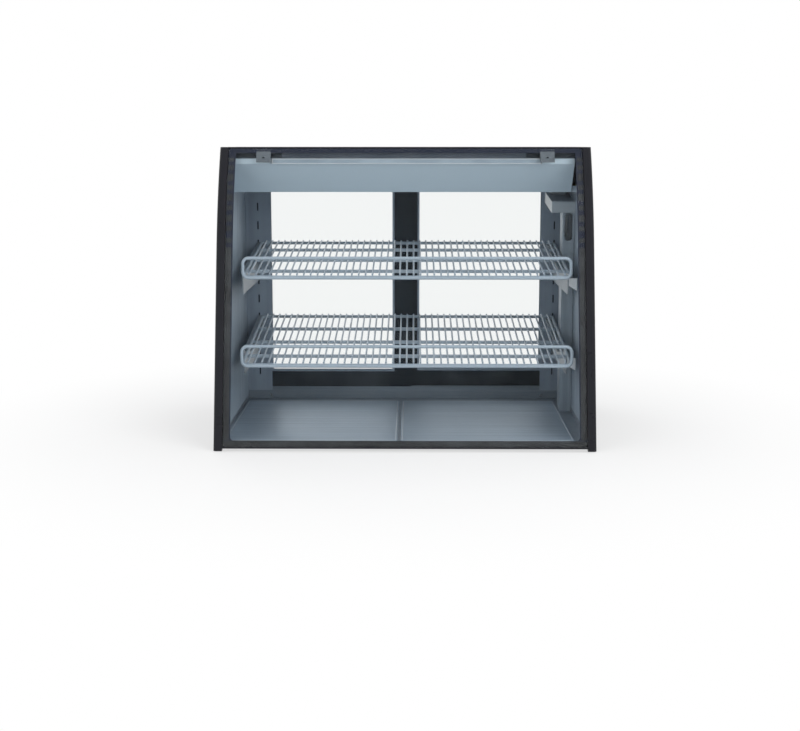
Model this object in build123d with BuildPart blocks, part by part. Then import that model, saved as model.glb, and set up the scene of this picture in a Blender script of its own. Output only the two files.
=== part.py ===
from build123d import *
import math
import os

os.makedirs("parts", exist_ok=True)

# Refrigerated bakery display case, in millimetres.
# X runs across the case, +Y to the rear and +Z up, from the middle of its footprint.
# A setback is measured from the foremost edge of the front, a height from the base pan's underside.

# Casing
width = 914
depth = 640
body_height = 709
foot_height = 8
foot_radius = 16
foot_inset = 60
skirt_drop = 6
skin = 1.5
side_wall = 14
liner_skin = 1.2

# Bent front
front_lean = math.radians(14.5)
lean_height = 464
bend_radius = 845
trim_width = 21
trim_depth = 13
trim_flange = 16
trim_round = 8
rail_lip = 3.5
rail_height = 16

# Front glass and its hinge
glass_inset = 2
glass_thickness = 6
glass_gap = 1
glass_low = 4
glass_high = 705
gasket_thickness = 2.2
gasket_gap = 0.3
rod_radius = 2.5
barrel_radius = 4
rod_reach = 706
bore_clearance = 0.05
clamp_width = 35
clamp_centre = 349.5
clamp_thickness = 5
clamp_low = 671
clamp_screw_height = 687
clamp_screw_radius = 3
lug_width = 3
lug_drop = 1

# Floor
floor_height = 10
pan_width = 418
pan_split = -14
pan_gap = 8
pan_front = 26
pan_rear = 543
pan_height = 4
pan_round = 9
coving = 10

# Canopy
ceiling_height = 596
ceiling_insulation = 14.5
valance_top = 680.5
valance_bend = 667
valance_front = 243
valance_rear = 311
valance_right = 419
header_front = 241.5
header_rear = 262
header_low = 695
hinge_rail_depth = 12

# Lamp
lamp_left = -330
lamp_right = 336
lamp_low = 668
lamp_high = 680
lamp_depth = 8
lamp_wall = 1.5
lamp_end = 2
lens_thickness = 1.5
led_half_strip = 3
led_size = 3
led_pitch = 16
led_count = 40

# Rear frame
rear_wall = 600
frame_skin = 2
door_opening = 751
sill_height = 33
track_base = 2
track_rib = 1
track_rib_height = 8
header_height = 630
top_rib_height = 22

# Sliding doors
door_thickness = 13
door_gap = 1.5
door_low = 37
door_high = 620
door_overlap = 15
door_outer_stile = 45
door_inner_stile = 50
door_bottom_rail = 52
door_top_rail = 28
pane_thickness = 4
pane_seat = 6
glide_lift = 0.3
glide_length = 40
pull_width = 22
pull_height = 90
pull_depth = 8
pull_centre = 330

# Shelf uprights and brackets
slot_column = 409
slot_width = 4
slot_height = 22
slot_pitch = 50.8
slot_top = 545.9
slot_count = 10
bracket_thickness = 3
bracket_front = 245
bracket_low = 343
bracket_flange = 22.5
bracket_skin = 2
shelf_rise = math.radians(7.3)
upper_shelf_height = 402.5
shelf_step = 4 * slot_pitch

# Wire shelves
shelf_width = 808
shelf_offset = 4
frame_wire = 4
grid_wire = 2.2
grid_pitch = 16.8
grid_count = 47
upper_shelf_front = 142
lower_shelf_front = 91
shelf_rear = 572
shelf_corner = 22
weld = 0.5
bar_width = 8
bar_thickness = 7
bar_pitch = 129
bar_count = 3
upper_bar_rear = 473
lower_bar_rear = 436
guard_height = 48
guard_corner = 14

# Air ducts on the right
post_left = 411
post_front = 415
post_rear = 475
post_top = 538.5
duct_skin = 1.5
post_hole_width = 21
post_hole_low = 465
post_hole_high = 540
outlet_left = 381.5
outlet_low = 539
outlet_height = 29
outlet_rise = 19
outlet_rear = 598
duct_gap = 0.1
collar_left = 392
collar_right = 434
collar_front = 545
collar_rear = 588
return_left = 200
return_right = 300
return_front = 330
return_rear = 345
grille_hole = 2.4
grille_columns = 16
grille_pitch = 10.4
grille_margin = 14
sensor_radius = 4
sensor_length = 50

# Rear cover and controls
cover_setback = 622
louvre_length = 60
louvre_height = 6
louvre_columns = 7
louvre_rows = 5
louvre_pitch = 12
louvre_centre = -120
screw_columns = (-425, -200, 60, 235, 425)
screw_heights = (640, 700)
screw_head = 4
sill_screw_height = 20
knob_radius = 16
knob_depth = 13
knob_column = 330
switch_column = 270
inlet_column = 390
inlet_width = 28
inlet_height = 22
inlet_wall = 2
switch_width = 14
switch_height = 22
rocker_width = 10
rocker_half = 8
rocker_tilt = math.radians(8)
rocker_pin = 1.5
thermostat_size = 40
thermostat_depth = 32
control_height = 670
shaft_radius = 3

# Refrigeration
compressor_radius = 38
compressor_length = 190
compressor_column = -300
compressor_setback = 490
fan_radius = 36
fan_hub = 10
blade_pitch = math.radians(23)
blade_count = 5
shaft_end_radius = 2.5
coil_height = 84
condenser_left = -160
condenser_right = 0
condenser_front = 560
condenser_rear = 598
condenser_fan_setback = 530
evaporator_fan_column = 368
evaporator_fan_setback = 450
tray_left = 130
tray_right = 310
tray_front = 350
tray_rear = 590
tray_depth = 9
tray_skin = 1.5
line_radius = 3
line_bend = 8
line_setback = 579
liquid_setback = 480
suction_setback = 400
drier_radius = 9
drier_length = 50

half_width = width / 2
inner_half = half_width - side_wall
trim_inner = half_width - trim_width
overhang = skirt_drop * math.tan(front_lean)
front_y = overhang - depth / 2
case_rear = depth - overhang
base_z = foot_height
glass_back = glass_inset + glass_thickness
seal_back = glass_back + gasket_gap + gasket_thickness
canopy_floor = ceiling_height + skin + ceiling_insulation
top_sheet = body_height - skin
slope = math.atan2(valance_bend - ceiling_height, valance_rear - valance_front)
ceiling_front = valance_rear + skin / math.sin(slope)
bend_setback = lean_height * math.tan(front_lean) + bend_radius * math.cos(front_lean)
bend_height = lean_height - bend_radius * math.sin(front_lean)


def side_plane(x):
    """Plane across the case at x: its own x is the setback and its y the height."""
    return Plane(origin=(x, front_y, base_z), x_dir=(0, 1, 0), z_dir=(1, 0, 0))


def level_plane(height):
    """Level plane at a height: its own x is X and its y the setback."""
    return Plane(origin=(0, front_y, base_z + height), x_dir=(1, 0, 0), z_dir=(0, 0, 1))


def rear_plane(setback):
    """Upright plane at a setback, facing the rear: its own x is -X and its y the height."""
    return Plane(origin=(0, front_y + setback, base_z), x_dir=(-1, 0, 0), z_dir=(0, 1, 0))


def spot(x, setback, height):
    """Position in the part's frame of a point given by x, setback and height."""
    return (x, front_y + setback, base_z + height)


def block(x_range, setbacks, heights, mode=Mode.ADD):
    """Adds a box between two x values, two setbacks and two heights to the part in hand."""
    sizes = [high - low for low, high in (x_range, setbacks, heights)]
    middle = [(high + low) / 2 for low, high in (x_range, setbacks, heights)]
    with Locations(spot(*middle)):
        Box(*sizes, mode=mode)


def mirrored(side, near, far):
    """Low and high x of a span from near to far on the left (-1) or the right (1) side."""
    return tuple(sorted((side * near, side * far)))


def front_setback(height, inset=0):
    """Setback of the bent front at a height, moved inwards by an inset along its normal."""
    if height <= lean_height - inset * math.sin(front_lean):
        return height * math.tan(front_lean) + inset / math.cos(front_lean)
    return bend_setback - math.sqrt((bend_radius - inset) ** 2 - (height - bend_height) ** 2)


def bend_start(inset):
    """Point where the straight part of the front meets its bend, at an inset."""
    return (
        lean_height * math.tan(front_lean) + inset * math.cos(front_lean),
        lean_height - inset * math.sin(front_lean),
    )


def front_curve(low, high, inset):
    """Adds the line and the arc of the front between two heights, at an inset."""
    middle = (lean_height + high) / 2
    Line((front_setback(low, inset), low), bend_start(inset))
    ThreePointArc(
        bend_start(inset),
        (front_setback(middle, inset), middle),
        (front_setback(high, inset), high),
    )


def front_band(low, high, outer, inner):
    """Adds the outline of a bent strip between two insets of the front."""
    front_curve(low, high, outer)
    front_curve(low, high, inner)
    Line((front_setback(low, outer), low), (front_setback(low, inner), low))
    Line((front_setback(high, outer), high), (front_setback(high, inner), high))


def side_outline(low, high, inset, rear):
    """Adds the outline of the case seen from the side, behind an inset of the front."""
    front_curve(low, high, inset)
    Polyline(
        (front_setback(low, inset), low),
        (rear, low),
        (rear, high),
        (front_setback(high, inset), high),
    )


def save(part, label):
    """Labels a finished piece and writes it as its own file."""
    part.part.label = label
    export_step(part.part, f"parts/{label}.step")


def side_sheet(near, far, low, high, inset, rear, side):
    """Makes a flat sheet with the outline of the case's side."""
    with BuildPart() as sheet:
        with BuildSketch(side_plane(side * near)):
            with BuildLine():
                side_outline(low, high, inset, rear)
            make_face()
        extrude(amount=side * (far - near))
    return sheet


rod_normal = math.asin((rod_reach - bend_height) / bend_radius)
rod_inset = glass_back + gasket_gap + barrel_radius
rod_setback = front_setback(rod_reach) + rod_inset * math.cos(rod_normal)
rod_height = rod_reach - rod_inset * math.sin(rod_normal)


# Base pan, floor liner, feet and insulation
pan_start = front_setback(rail_height, trim_depth) + 1
floor_under = floor_height - liner_skin
with BuildPart() as base_pan:
    block((-half_width + skin, half_width - skin), (pan_start, case_rear), (0, skin))
    block((-inner_half, inner_half), (pan_start, pan_start + skin), (skin, floor_under))
    block((-inner_half, inner_half), (case_rear - skin, case_rear), (skin, floor_under))
save(base_pan, "base_pan")

with BuildPart() as floor_liner:
    block((-inner_half, inner_half), (pan_start, case_rear), (floor_under, floor_height))
    for side in (-1, 1):
        edge = mirrored(side, inner_half - liner_skin, inner_half)
        block(edge, (pan_start + coving, rear_wall), (floor_height, floor_height + coving))
save(floor_liner, "floor_liner")

with BuildPart() as feet:
    foot_spots = [
        spot(x, setback, -foot_height / 2)
        for x in (foot_inset - half_width, half_width - foot_inset)
        for setback in (foot_inset, case_rear - foot_inset)
    ]
    with Locations(*foot_spots):
        Cylinder(foot_radius, foot_height)
save(feet, "feet")

duct_hole_front = collar_front + duct_skin
duct_hole_rear = collar_rear - duct_skin
with BuildPart() as insulation:
    inner_floor = (pan_start + skin, case_rear - skin)
    block((-inner_half, inner_half), inner_floor, (skin, floor_under))
    block(
        (-inner_half, inner_half),
        (ceiling_front + skin, rear_wall),
        (ceiling_height + skin, canopy_floor),
    )
    block(
        (collar_left + duct_skin, collar_right - duct_skin),
        (duct_hole_front, duct_hole_rear),
        (ceiling_height, canopy_floor),
        mode=Mode.SUBTRACT,
    )
    block(
        (return_left, return_right),
        (return_front, return_rear),
        (ceiling_height, canopy_floor),
        mode=Mode.SUBTRACT,
    )
    for side in (-1, 1):
        with BuildSketch(side_plane(side * (inner_half + skin))):
            with BuildLine():
                side_outline(skin, top_sheet, trim_depth, case_rear - skin)
            make_face()
        extrude(amount=side * (side_wall - 2 * skin))
save(insulation, "insulation")


# Side panels, side liners and front trims
for side, name in ((-1, "left"), (1, "right")):
    panel = side_sheet(
        half_width - skin, half_width, -skirt_drop, body_height, trim_depth, case_rear, side
    )
    with panel:
        rear_flange = mirrored(side, inner_half, half_width - skin)
        block(rear_flange, (case_rear - skin, case_rear), (skin, top_sheet))
    save(panel, f"{name}_side_panel")
    liner = side_sheet(
        inner_half, inner_half + skin, skin, top_sheet, trim_depth, case_rear - skin, side
    )
    save(liner, f"{name}_side_liner")

    with BuildPart() as trim:
        with BuildSketch(side_plane(side * trim_inner)):
            with BuildLine():
                front_band(-skirt_drop, body_height, 0, trim_depth)
            make_face()
        extrude(amount=side * trim_width)
        outer_face = trim.faces().sort_by(Axis.X)[0 if side < 0 else -1]
        front_edges = [
            edge
            for edge in outer_face.edges()
            if edge.length > trim_width * 2
            and edge.center().Y - front_y
            < front_setback(edge.center().Z - base_z, trim_depth / 2)
        ]
        fillet(front_edges, radius=trim_round)
        with BuildSketch(side_plane(side * trim_inner)):
            with BuildLine():
                front_band(rail_height + 2, header_low - trim_depth, seal_back, trim_depth)
            make_face()
        extrude(amount=-side * trim_flange)
        with BuildSketch(side_plane(side * trim_inner)):
            with Locations((rod_setback, rod_height)):
                Circle(rod_radius + bore_clearance)
        extrude(amount=side * trim_width / 2, mode=Mode.SUBTRACT)
    save(trim, f"{name}_front_trim")


# Bottom front rail
with BuildPart() as front_rail:
    with BuildSketch(side_plane(-trim_inner)):
        with BuildLine():
            Polyline(
                (front_setback(0), 0),
                (front_setback(rail_lip), rail_lip),
                (front_setback(rail_lip, seal_back), rail_lip),
                (front_setback(rail_height, seal_back), rail_height),
                (front_setback(rail_height, trim_depth), rail_height),
                (front_setback(0, trim_depth), 0),
                close=True,
            )
        make_face()
    extrude(amount=2 * trim_inner)
save(front_rail, "front_rail")

# Gasket behind the glass, on the trims' flanges and on the rail
with BuildPart() as glass_gasket:
    for side in (-1, 1):
        with BuildSketch(side_plane(side * (trim_inner - glass_gap))):
            with BuildLine():
                front_band(
                    rail_height + 2,
                    header_low - trim_depth,
                    seal_back - gasket_thickness,
                    seal_back,
                )
            make_face()
        extrude(amount=-side * (trim_flange - 2 * glass_gap))
    with BuildSketch(side_plane(-trim_inner)):
        with BuildLine():
            Polyline(
                (front_setback(rail_lip, seal_back - gasket_thickness), rail_lip),
                (front_setback(rail_height, seal_back - gasket_thickness), rail_height),
                (front_setback(rail_height, seal_back), rail_height),
                (front_setback(rail_lip, seal_back), rail_lip),
                close=True,
            )
        make_face()
    extrude(amount=2 * trim_inner)
save(glass_gasket, "glass_gasket")

# Bent front glass
with BuildPart() as front_glass:
    with BuildSketch(side_plane(-trim_inner + glass_gap)):
        with BuildLine():
            front_band(glass_low, glass_high, glass_inset, glass_back)
        make_face()
    extrude(amount=2 * (trim_inner - glass_gap))
save(front_glass, "front_glass")

# Clamp hinges, fixed behind the glass and turning on the rod
with BuildPart() as glass_clamps:
    for side in (-1, 1):
        with BuildSketch(side_plane(side * clamp_centre - clamp_width / 2)):
            with BuildLine():
                Polyline(
                    (front_setback(clamp_low, glass_back), clamp_low),
                    (front_setback(rod_height - 2, glass_back), rod_height - 2),
                    (rod_setback, rod_height + 1),
                    (rod_setback + barrel_radius - 1, rod_height - 2),
                    (front_setback(clamp_low, glass_back + clamp_thickness), clamp_low),
                    close=True,
                )
            make_face()
            with BuildLine():
                front_band(
                    lean_height - 20,
                    rod_height + barrel_radius,
                    glass_inset,
                    glass_back + 0.05,
                )
            make_face(mode=Mode.SUBTRACT)
            with Locations((rod_setback, rod_height)):
                Circle(barrel_radius)
                Circle(rod_radius + bore_clearance, mode=Mode.SUBTRACT)
        extrude(amount=clamp_width)
        with BuildSketch(Plane(
            origin=spot(side * clamp_centre, front_setback(clamp_screw_height), clamp_screw_height),
            z_dir=(0, math.cos(rod_normal), -math.sin(rod_normal)),
        )):
            Circle(clamp_screw_radius)
        extrude(amount=3 * trim_depth, mode=Mode.SUBTRACT)
save(glass_clamps, "glass_clamps")

with BuildPart() as hinge_rod:
    with BuildSketch(side_plane(-trim_inner - trim_width / 3)):
        with Locations((rod_setback, rod_height)):
            Circle(rod_radius)
    extrude(amount=2 * (trim_inner + trim_width / 3))
save(hinge_rod, "hinge_rod")

# Header cap with the lugs that carry the rod, and the rail under it
lug_step = clamp_width / 2 + lug_width
with BuildPart() as header_cap:
    block((-trim_inner, trim_inner), (header_front, header_rear), (header_low, body_height))
    block((-inner_half, inner_half), (header_front + 3, header_rear), (header_low, top_sheet))
    cap_half = half_width - skin
    block((-cap_half, cap_half), (header_front + 3, header_rear), (top_sheet, body_height))
    for x in (-clamp_centre, clamp_centre):
        for step in (-lug_step, lug_step):
            with BuildSketch(side_plane(x + step - lug_width / 2)):
                with Locations((rod_setback, rod_height)):
                    Circle(barrel_radius)
                with BuildLine():
                    Polyline(
                        (rod_setback, rod_height + barrel_radius),
                        (header_front + 1, rod_height + barrel_radius - lug_drop),
                        (header_front + 1, rod_height - barrel_radius),
                        (rod_setback, rod_height - barrel_radius),
                        close=True,
                    )
                make_face()
                with Locations((rod_setback, rod_height)):
                    Circle(rod_radius, mode=Mode.SUBTRACT)
            extrude(amount=lug_width)
save(header_cap, "header_cap")

with BuildPart() as hinge_rail:
    rail_front = header_front + 0.5
    block(
        (-trim_inner, trim_inner),
        (rail_front, rail_front + hinge_rail_depth),
        (valance_top, header_low),
    )
    block(
        (-trim_inner, trim_inner),
        (rail_front + skin, rail_front + hinge_rail_depth - skin),
        (valance_top + skin, header_low),
        mode=Mode.SUBTRACT,
    )
save(hinge_rail, "hinge_rail")


# Valance, ceiling liner and top panel
with BuildPart() as valance:
    with BuildSketch(side_plane(-inner_half)):
        with BuildLine():
            Polyline(
                (valance_front, valance_top),
                (valance_front, valance_bend),
                (valance_rear, ceiling_height),
                (ceiling_front, ceiling_height),
                (valance_front + skin, valance_bend + skin * math.tan(slope / 2)),
                (valance_front + skin, valance_top),
                close=True,
            )
        make_face()
    extrude(amount=inner_half + valance_right)
save(valance, "valance")

with BuildPart() as ceiling_liner:
    block(
        (-inner_half, inner_half),
        (ceiling_front, rear_wall),
        (ceiling_height, ceiling_height + skin),
    )
    block(
        (-inner_half, inner_half),
        (ceiling_front, ceiling_front + skin),
        (ceiling_height + skin, canopy_floor),
    )
    block(
        (collar_left + duct_skin, collar_right - duct_skin),
        (duct_hole_front, duct_hole_rear),
        (ceiling_height, ceiling_height + skin),
        mode=Mode.SUBTRACT,
    )
    with BuildSketch(level_plane(ceiling_height)):
        with Locations(((return_left + return_right) / 2, (return_front + return_rear) / 2)):
            with GridLocations(10, 0, 9, 1):
                SlotOverall(return_rear - return_front - 3, 5, rotation=90)
    extrude(amount=skin, mode=Mode.SUBTRACT)
save(ceiling_liner, "ceiling_liner")

with BuildPart() as top_panel:
    sheet_half = half_width - skin
    block((-sheet_half, sheet_half), (header_rear, case_rear), (top_sheet, body_height))
save(top_panel, "top_panel")


# Lamp behind the top of the glass
lamp_front = valance_front - lamp_depth
lamp_bore = (lamp_left + lamp_end, lamp_right - lamp_end)
lamp_inner = (lamp_low + lamp_wall, lamp_high - lamp_wall)
with BuildPart() as lamp_housing:
    block((lamp_left, lamp_right), (lamp_front, valance_front), (lamp_low, lamp_high))
    block(
        lamp_bore,
        (lamp_front, valance_front - lamp_wall),
        lamp_inner,
        mode=Mode.SUBTRACT,
    )
save(lamp_housing, "lamp_housing")

with BuildPart() as lamp_lens:
    block(lamp_bore, (lamp_front, lamp_front + lens_thickness), lamp_inner)
save(lamp_lens, "lamp_lens")

board_back = valance_front - lamp_wall
lamp_middle = (lamp_low + lamp_high) / 2
board_heights = (lamp_middle - led_half_strip, lamp_middle + led_half_strip)
with BuildPart() as led_board:
    block((lamp_left + 6, lamp_right - 6), (board_back - 1, board_back), board_heights)
    with BuildSketch(rear_plane(board_back - 1)):
        with Locations((-(lamp_left + lamp_right) / 2, lamp_middle)):
            with GridLocations(led_pitch, 0, led_count, 1):
                Rectangle(led_size, led_size)
    extrude(amount=-0.8)
save(led_board, "led_board")


# Rear jambs with their shelf slots, sill, header and tracks
opening_half = door_opening / 2
for side, name in ((-1, "left"), (1, "right")):
    with BuildPart() as jamb:
        plate = mirrored(side, opening_half, inner_half)
        block(plate, (rear_wall, rear_wall + frame_skin), (sill_height, ceiling_height))
        flange = mirrored(side, inner_half - frame_skin, inner_half)
        flange_depth = (rear_wall + frame_skin, case_rear - skin)
        block(flange, flange_depth, (sill_height, ceiling_height))
        with BuildSketch(rear_plane(rear_wall)):
            for index in range(slot_count):
                with Locations((-side * slot_column, slot_top - index * slot_pitch)):
                    Rectangle(slot_width, slot_height)
        extrude(amount=frame_skin, mode=Mode.SUBTRACT)
    save(jamb, f"{name}_rear_jamb")

with BuildPart() as rear_sill:
    block((-inner_half, inner_half), (rear_wall, case_rear), (floor_height, sill_height))
    block(
        (-inner_half, inner_half),
        (rear_wall + skin, case_rear - skin),
        (floor_height + skin, sill_height - skin),
        mode=Mode.SUBTRACT,
    )
save(rear_sill, "rear_sill")

track_half = inner_half - frame_skin
track_front = rear_wall + frame_skin
door_front = track_front + track_rib + door_gap
middle_rib = door_front + door_thickness + door_gap
rear_door_front = middle_rib + track_rib + door_gap
last_rib = rear_door_front + door_thickness + door_gap
with BuildPart() as lower_door_track:
    block(
        (-track_half, track_half),
        (track_front, last_rib + track_rib),
        (sill_height, sill_height + track_base),
    )
    for rib in (track_front, middle_rib, last_rib):
        block(
            (-track_half, track_half),
            (rib, rib + track_rib),
            (sill_height + track_base, sill_height + track_base + track_rib_height),
        )
save(lower_door_track, "lower_door_track")

with BuildPart() as upper_door_track:
    block(
        (-track_half, track_half),
        (track_front, last_rib + track_rib),
        (header_height - track_base, header_height),
    )
    for rib in (track_front, middle_rib, last_rib):
        block(
            (-track_half, track_half),
            (rib, rib + track_rib),
            (header_height - track_base - top_rib_height, header_height - track_base),
        )
save(upper_door_track, "upper_door_track")

with BuildPart() as rear_header:
    header_top = header_height + frame_skin
    block((-inner_half, inner_half), (rear_wall, track_front), (ceiling_height, header_top))
    block((-inner_half, inner_half), (track_front, case_rear), (header_height, header_top))
save(rear_header, "rear_header")


# Sliding rear doors
door_outer = opening_half + door_outer_stile
for side, name, door_setback in ((-1, "left", door_front), (1, "right", rear_door_front)):
    door_span = mirrored(side, -door_overlap, door_outer)
    window = mirrored(side, door_inner_stile - door_overlap, opening_half)
    window_heights = (door_low + door_bottom_rail, door_high - door_top_rail)
    pane_front = door_setback + (door_thickness - pane_thickness) / 2
    pane_span = (window[0] - pane_seat, window[1] + pane_seat)
    pane_heights = (window_heights[0] - pane_seat, window_heights[1] + pane_seat)
    pane_depth = (pane_front, pane_front + pane_thickness)
    door_depth = (door_setback, door_setback + door_thickness)
    pull_x = mirrored(
        side, door_outer - (door_outer_stile + pull_width) / 2,
        door_outer - (door_outer_stile - pull_width) / 2,
    )
    pull_heights = (pull_centre - pull_height / 2, pull_centre + pull_height / 2)
    with BuildPart() as door_frame:
        block(door_span, door_depth, (door_low, door_high))
        block(window, door_depth, window_heights, mode=Mode.SUBTRACT)
        block(pane_span, pane_depth, pane_heights, mode=Mode.SUBTRACT)
        pull_setbacks = (door_depth[1] - pull_depth, door_depth[1])
        block(pull_x, pull_setbacks, pull_heights, mode=Mode.SUBTRACT)
    save(door_frame, f"{name}_door_frame")
    with BuildPart() as door_pane:
        block(pane_span, pane_depth, pane_heights)
    save(door_pane, f"{name}_door_pane")
    with BuildPart() as glides:
        for near in (door_overlap * 2, door_outer - 2 * glide_length):
            glide_span = mirrored(side, near, near + glide_length)
            glide_depth = (door_setback + 2, door_setback + door_thickness - 2)
            block(glide_span, glide_depth, (sill_height + track_base + glide_lift, door_low))
    save(glides, f"{name}_door_glides")


# Deck pans
pan_edges = (
    ("left", pan_split - pan_gap / 2 - pan_width),
    ("right", pan_split + pan_gap / 2),
)
for name, pan_left in pan_edges:
    with BuildPart() as pan:
        with BuildSketch(level_plane(floor_height)):
            with Locations((pan_left + pan_width / 2, (pan_front + pan_rear) / 2)):
                RectangleRounded(pan_width, pan_rear - pan_front, pan_round)
        extrude(amount=pan_height)
        fillet(pan.faces().sort_by(Axis.Z)[-1].edges(), radius=1.5)
    save(pan, f"{name}_deck_pan")


def shelf_top(setback, shelf_height):
    """Height of a shelf's underside at a setback."""
    return shelf_height + (setback - bracket_front) * math.tan(shelf_rise)


# Shelf brackets, hooked into the slots of the rear jambs
with BuildPart() as shelf_brackets:
    for level in (0, 1):
        drop = level * shelf_step
        low = bracket_low - drop
        under = upper_shelf_height - drop
        front_top = shelf_top(bracket_front, under)
        rear_top = shelf_top(rear_wall, under)
        for side in (-1, 1):
            plate_near = slot_column - bracket_thickness / 2
            with BuildSketch(side_plane(side * plate_near)):
                with BuildLine():
                    Polyline(
                        (bracket_front, low),
                        (rear_wall, low),
                        (rear_wall, rear_top),
                        (bracket_front, front_top),
                        close=True,
                    )
                make_face()
            extrude(amount=side * bracket_thickness)
            with BuildSketch(side_plane(side * plate_near)):
                with BuildLine():
                    Polyline(
                        (bracket_front, front_top - bracket_skin),
                        (rear_wall, rear_top - bracket_skin),
                        (rear_wall, rear_top),
                        (bracket_front, front_top),
                        close=True,
                    )
                make_face()
            extrude(amount=-side * bracket_flange)
            plate = mirrored(side, plate_near, plate_near + bracket_thickness)
            for slot_index in (2, 3):
                slot_centre = slot_top - slot_index * slot_pitch - drop
                slot_low = slot_centre - slot_height / 2
                hook_depth = (rear_wall, track_front + bracket_skin - 0.2)
                block(plate, hook_depth, (slot_low, slot_low + 14))
                lip_depth = (track_front + 0.2, track_front + bracket_skin - 0.2)
                block(plate, lip_depth, (slot_low - 7, slot_low))
        tab_span = (slot_column + bracket_thickness / 2, slot_column + 23)
        with BuildSketch(rear_plane(bracket_front)):
            with BuildLine():
                Polyline(
                    (-tab_span[0], low + 21),
                    (-tab_span[1], low + 8),
                    (-tab_span[1], low + 41),
                    (-tab_span[0], low + 41),
                    close=True,
                )
            make_face()
        extrude(amount=bracket_skin)
save(shelf_brackets, "shelf_brackets")


def wire_loop(plane, half, low, high, corner):
    """Makes a closed loop of frame wire with rounded corners on a plane."""
    with BuildPart() as loop:
        with BuildLine(plane):
            path = FilletPolyline(
                (half, low), (half, high), (-half, high), (-half, low), radius=corner, close=True
            )
        with BuildSketch(Plane(origin=path @ 0, z_dir=path % 0)):
            Circle(frame_wire)
        sweep(path=path)
    return loop


def wire_shelf(shelf_front, under, bar_rear):
    """Makes a wire shelf that rests on the brackets: a mat of wires and bars, its frame and guard."""
    half = shelf_width / 2 - frame_wire
    origin = spot(shelf_offset, shelf_front, shelf_top(shelf_front, under))
    tilt = (0, -math.sin(shelf_rise), math.cos(shelf_rise))
    deck = Plane(origin=origin, x_dir=(1, 0, 0), z_dir=tilt)
    length = (shelf_rear - shelf_front) / math.cos(shelf_rise)
    wire_front = 3 * frame_wire
    frame = wire_loop(deck.offset(frame_wire), half, wire_front, length, shelf_corner)
    guard_origin = deck.from_local_coords((0, frame_wire, frame_wire))
    guard_plane = Plane(origin=guard_origin, x_dir=(1, 0, 0), z_dir=(0, -1, 0))
    guard = wire_loop(guard_plane, half, 0, guard_height, guard_corner)
    with BuildPart() as mat:
        for index in range(bar_count):
            bar_back = (bar_rear - index * bar_pitch - shelf_front) / math.cos(shelf_rise)
            with BuildSketch(deck.offset(2 * frame_wire + weld - bar_thickness)):
                with Locations((0, bar_back)):
                    Rectangle(2 * (half - frame_wire), bar_width)
            extrude(amount=bar_thickness)
        wire_start = deck.from_local_coords((0, wire_front, 2 * frame_wire + grid_wire))
        with BuildSketch(Plane(origin=wire_start, x_dir=(1, 0, 0), z_dir=-deck.y_dir)):
            with GridLocations(grid_pitch, 0, grid_count, 1):
                Circle(grid_wire)
        extrude(amount=-(length - wire_front))
    solids = [solid for piece in (mat, frame, guard) for solid in piece.part.solids()]
    return Compound(solids)


for shelf_name, shelf_front, shelf_height, bar_rear in (
    ("upper_shelf", upper_shelf_front, upper_shelf_height, upper_bar_rear),
    ("lower_shelf", lower_shelf_front, upper_shelf_height - shelf_step, lower_bar_rear),
):
    shelf = wire_shelf(shelf_front, shelf_height, bar_rear)
    shelf.label = shelf_name
    export_step(shelf, f"parts/{shelf_name}.step")


# Air return post with an oblong hole, and the outlet duct above it
post_span = (post_left, inner_half - liner_skin - duct_gap)
with BuildPart() as return_duct:
    block(post_span, (post_front, post_rear), (floor_height, post_top))
    block(
        (post_span[0] + duct_skin, post_span[1] - duct_skin),
        (post_front + duct_skin, post_rear - duct_skin),
        (floor_height, post_top),
        mode=Mode.SUBTRACT,
    )
    hole_height = (post_hole_low + post_hole_high) / 2
    with BuildSketch(rear_plane(post_front)):
        with Locations((-sum(post_span) / 2, hole_height)):
            SlotOverall(post_hole_high - post_hole_low, post_hole_width, rotation=90)
    extrude(amount=duct_skin, mode=Mode.SUBTRACT)
save(return_duct, "return_duct")

outlet_right = inner_half - duct_gap
outlet_slope = outlet_rise / (outlet_rear - post_front)
with BuildPart() as outlet_duct:
    for wall, left, right, mode in (
        (0, outlet_left + duct_skin, outlet_right, Mode.ADD),
        (duct_skin, outlet_left + duct_skin, outlet_right - duct_skin, Mode.SUBTRACT),
    ):
        front = post_front + wall
        rear = outlet_rear - wall
        with BuildSketch(side_plane(left)):
            with BuildLine():
                Polyline(
                    (front, outlet_low + wall),
                    (front, outlet_low + outlet_height - wall),
                    (rear, outlet_low + outlet_height + outlet_rise - wall),
                    (rear, outlet_low + outlet_rise + wall),
                    close=True,
                )
            make_face()
        extrude(amount=right - left, mode=mode)
    collar_low = outlet_low + outlet_height + outlet_slope * (collar_front - post_front) - 1
    block((collar_left, collar_right), (collar_front, collar_rear), (collar_low, ceiling_height))
    block(
        (collar_left + duct_skin, collar_right - duct_skin),
        (duct_hole_front, duct_hole_rear),
        (collar_low - 8, ceiling_height),
        mode=Mode.SUBTRACT,
    )
save(outlet_duct, "outlet_duct")

with BuildPart() as outlet_grille:
    with BuildSketch(side_plane(outlet_left)):
        with BuildLine():
            Polyline(
                (post_front, outlet_low),
                (post_front, outlet_low + outlet_height),
                (outlet_rear, outlet_low + outlet_height + outlet_rise),
                (outlet_rear, outlet_low + outlet_rise),
                close=True,
            )
        make_face()
        for column in range(grille_columns):
            hole_step = grille_margin + column * grille_pitch
            hole_middle = outlet_low + outlet_height / 2 + outlet_slope * hole_step
            with Locations((post_front + hole_step, hole_middle)):
                with GridLocations(0, 8, 1, 3):
                    Circle(grille_hole, mode=Mode.SUBTRACT)
    extrude(amount=duct_skin)
save(outlet_grille, "outlet_grille")


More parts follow.
